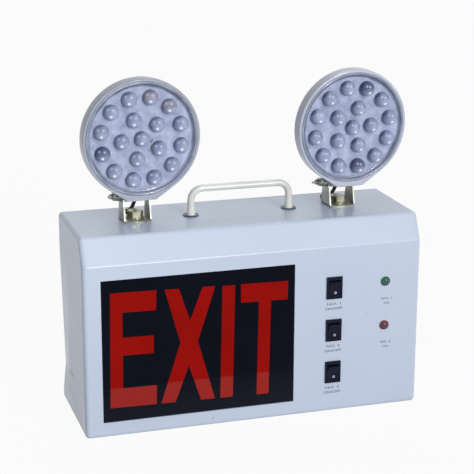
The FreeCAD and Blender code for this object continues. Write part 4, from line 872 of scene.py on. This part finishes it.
# %% Tinted domes
def make_tint(name, dark, light, heart, edge):
    """Glossy clear plastic that is dark at its heart, and pale at its edge with painted light."""
    finish = make_finish(name, dark, light, patches=90, gloss=(0.08, 0.16), grain=900, height=0.01,
                         coat_weight=0.2, coat_roughness=0.04)
    shader = finish.node_tree.nodes["Principled BSDF"]
    colour = shader.inputs["Base Color"].links[0].from_socket
    outward = facing(finish, (0, -1, 0))
    # painted light: the pale edge stands for the light that the thin rim scatters
    colour = lay_over(finish, colour, edge, between(finish, outward, 0.8, 0, 0.2, 0.6))
    colour = lay_over(finish, colour, heart, between(finish, outward, 0, 0.9, 0.9, 0.98))
    join_nodes(finish, colour, shader.inputs["Base Color"])
    return finish


dress(make_tint("green_tinted_dome", shade(18, 88, 70), shade(34, 108, 90), shade(4, 28, 26),
                shade(140, 204, 190)), "green_indicator")
dress(make_tint("red_tinted_dome", shade(92, 14, 26), shade(112, 24, 36), shade(52, 8, 16),
                shade(204, 146, 154)), "red_indicator")

# %% [markdown]
# ## The floor and the studio
# A plain pale floor keeps the object's shadow. The world stands in for a big white tent: it lights the
# object softly, and it shows itself as plain white to the camera and to reflections. The floor joins that
# white in the same way, so that no horizon shows. A broad soft sun low in front gives the form, a softer
# one overhead lifts the top, and one behind keeps the back from going dull. A small sharp sun stands where
# the fold along the front mirrors it, and draws the bright line that a rounded fold always has.


# %% Telling a view from light
def seen_directly(tree):
    """1 where the camera, a reflection or clear plastic looks, and 0 where light is gathered."""
    path = tree.nodes.new("ShaderNodeLightPath")
    last = path.outputs["Is Camera Ray"]
    for name in ("Is Glossy Ray", "Is Transmission Ray"):
        either = tree.nodes.new("ShaderNodeMath")
        either.operation = "MAXIMUM"
        tree.links.new(last, either.inputs[0])
        tree.links.new(path.outputs[name], either.inputs[1])
        last = either.outputs[0]
    return last


# %% Floor
FLOOR_HALF = 4000
FLOOR_SHOWN = 0.94   # how much of the plain white is mixed in where the floor is looked at


def make_floor():
    points = [(x * FLOOR_HALF, y * FLOOR_HALF, 0) for x, y in ((-1, -1), (1, -1), (1, 1), (-1, 1))]
    finish = make_finish("white_studio_floor", shade(196, 198, 204), shade(204, 206, 212), patches=3,
                         gloss=(0.8, 0.9), grain=200, specular_ior_level=0.1)
    tree = finish.node_tree
    glow = tree.nodes.new("ShaderNodeEmission")
    glow.inputs["Color"].default_value = shade(255, 255, 255)
    part = tree.nodes.new("ShaderNodeMath")
    part.operation = "MULTIPLY"
    part.inputs[1].default_value = FLOOR_SHOWN
    blend = tree.nodes.new("ShaderNodeMixShader")
    tree.links.new(seen_directly(tree), part.inputs[0])
    tree.links.new(part.outputs[0], blend.inputs["Fac"])
    tree.links.new(tree.nodes["Principled BSDF"].outputs[0], blend.inputs[1])
    tree.links.new(glow.outputs[0], blend.inputs[2])
    tree.links.new(blend.outputs[0], tree.nodes["Material Output"].inputs["Surface"])
    make_piece("studio_floor", points, [(0, 1, 2, 3)], None, [finish], smooth=False)


make_floor()
print("laid a floor of", 2 * FLOOR_HALF * MM, "metres")

# %% World
SKY, SKY_STRENGTH = (0.82, 0.87, 1, 1), 0.29
world = bpy.data.worlds.new("white_tent")
bpy.context.scene.world = world
world.use_nodes = True
tent = world.node_tree
tent.nodes.clear()
soft = tent.nodes.new("ShaderNodeBackground")
soft.inputs["Color"].default_value = SKY
soft.inputs["Strength"].default_value = SKY_STRENGTH
white = tent.nodes.new("ShaderNodeBackground")
white.inputs["Color"].default_value = shade(251, 252, 253)
mix = tent.nodes.new("ShaderNodeMixShader")
out = tent.nodes.new("ShaderNodeOutputWorld")
tent.links.new(seen_directly(tent), mix.inputs["Fac"])
tent.links.new(soft.outputs[0], mix.inputs[1])
tent.links.new(white.outputs[0], mix.inputs[2])
tent.links.new(mix.outputs[0], out.inputs["Surface"])
print("the tent gives", SKY_STRENGTH, "of soft light")

# %% Lamps
# each sun's direction, its strength, and how wide it is in degrees
SUNS = {"front_light": ((0.27, -0.9, 0.33), 1.2, 42),
        "roof_light": ((0.1, -0.15, 1), 0.3, 60),
        "back_light": ((0.15, 0.62, 0.7), 0.5, 30),
        "edge_light": ((0.23, -0.958, 0.165), 0.95, 5)}
for name, (way, strength, wide) in SUNS.items():
    light = bpy.data.lights.new(name, "SUN")
    light.energy = strength
    light.angle = math.radians(wide)
    lamp = bpy.data.objects.new(name, light)
    bpy.context.scene.collection.objects.link(lamp)
    lamp.location = Vector((0, 0, 0.2)) + Vector(way).normalized() * 1.6
    lamp.rotation_euler = (-Vector(way)).to_track_quat("-Z", "Y").to_euler()
    print(name, "has a strength of", strength)

# %% [markdown]
# ## The camera
# The camera looks down on the front from the left, with a long lens that keeps the box's edges nearly
# parallel. Its place and its three axes are written out, because a track constraint would level it, and the
# real one was held a hair out of level.

# %% Camera
LENS_LENGTH, SENSOR = 111.175, 36   # millimetres
eye = Vector((-0.3935, -1.2492, 0.5354))
right_way = Vector((0.95469373, -0.29757255, 0.00323332))
up_way = Vector((0.07857805, 0.26254942, 0.96171373))
back_way = Vector((-0.28702851, -0.917888, 0.27403696))
lens = bpy.data.cameras.new("studio_camera")
lens.lens, lens.sensor_width = LENS_LENGTH, SENSOR
camera = bpy.data.objects.new("studio_camera", lens)
bpy.context.scene.collection.objects.link(camera)
camera.matrix_world = Matrix.Translation(eye) @ Matrix((right_way, up_way, back_way)).transposed().to_4x4()
bpy.context.scene.camera = camera
bpy.context.scene.view_settings.view_transform = "Standard"
print("the camera stands", round(eye.length, 3), "metres from the middle of the part's foot")
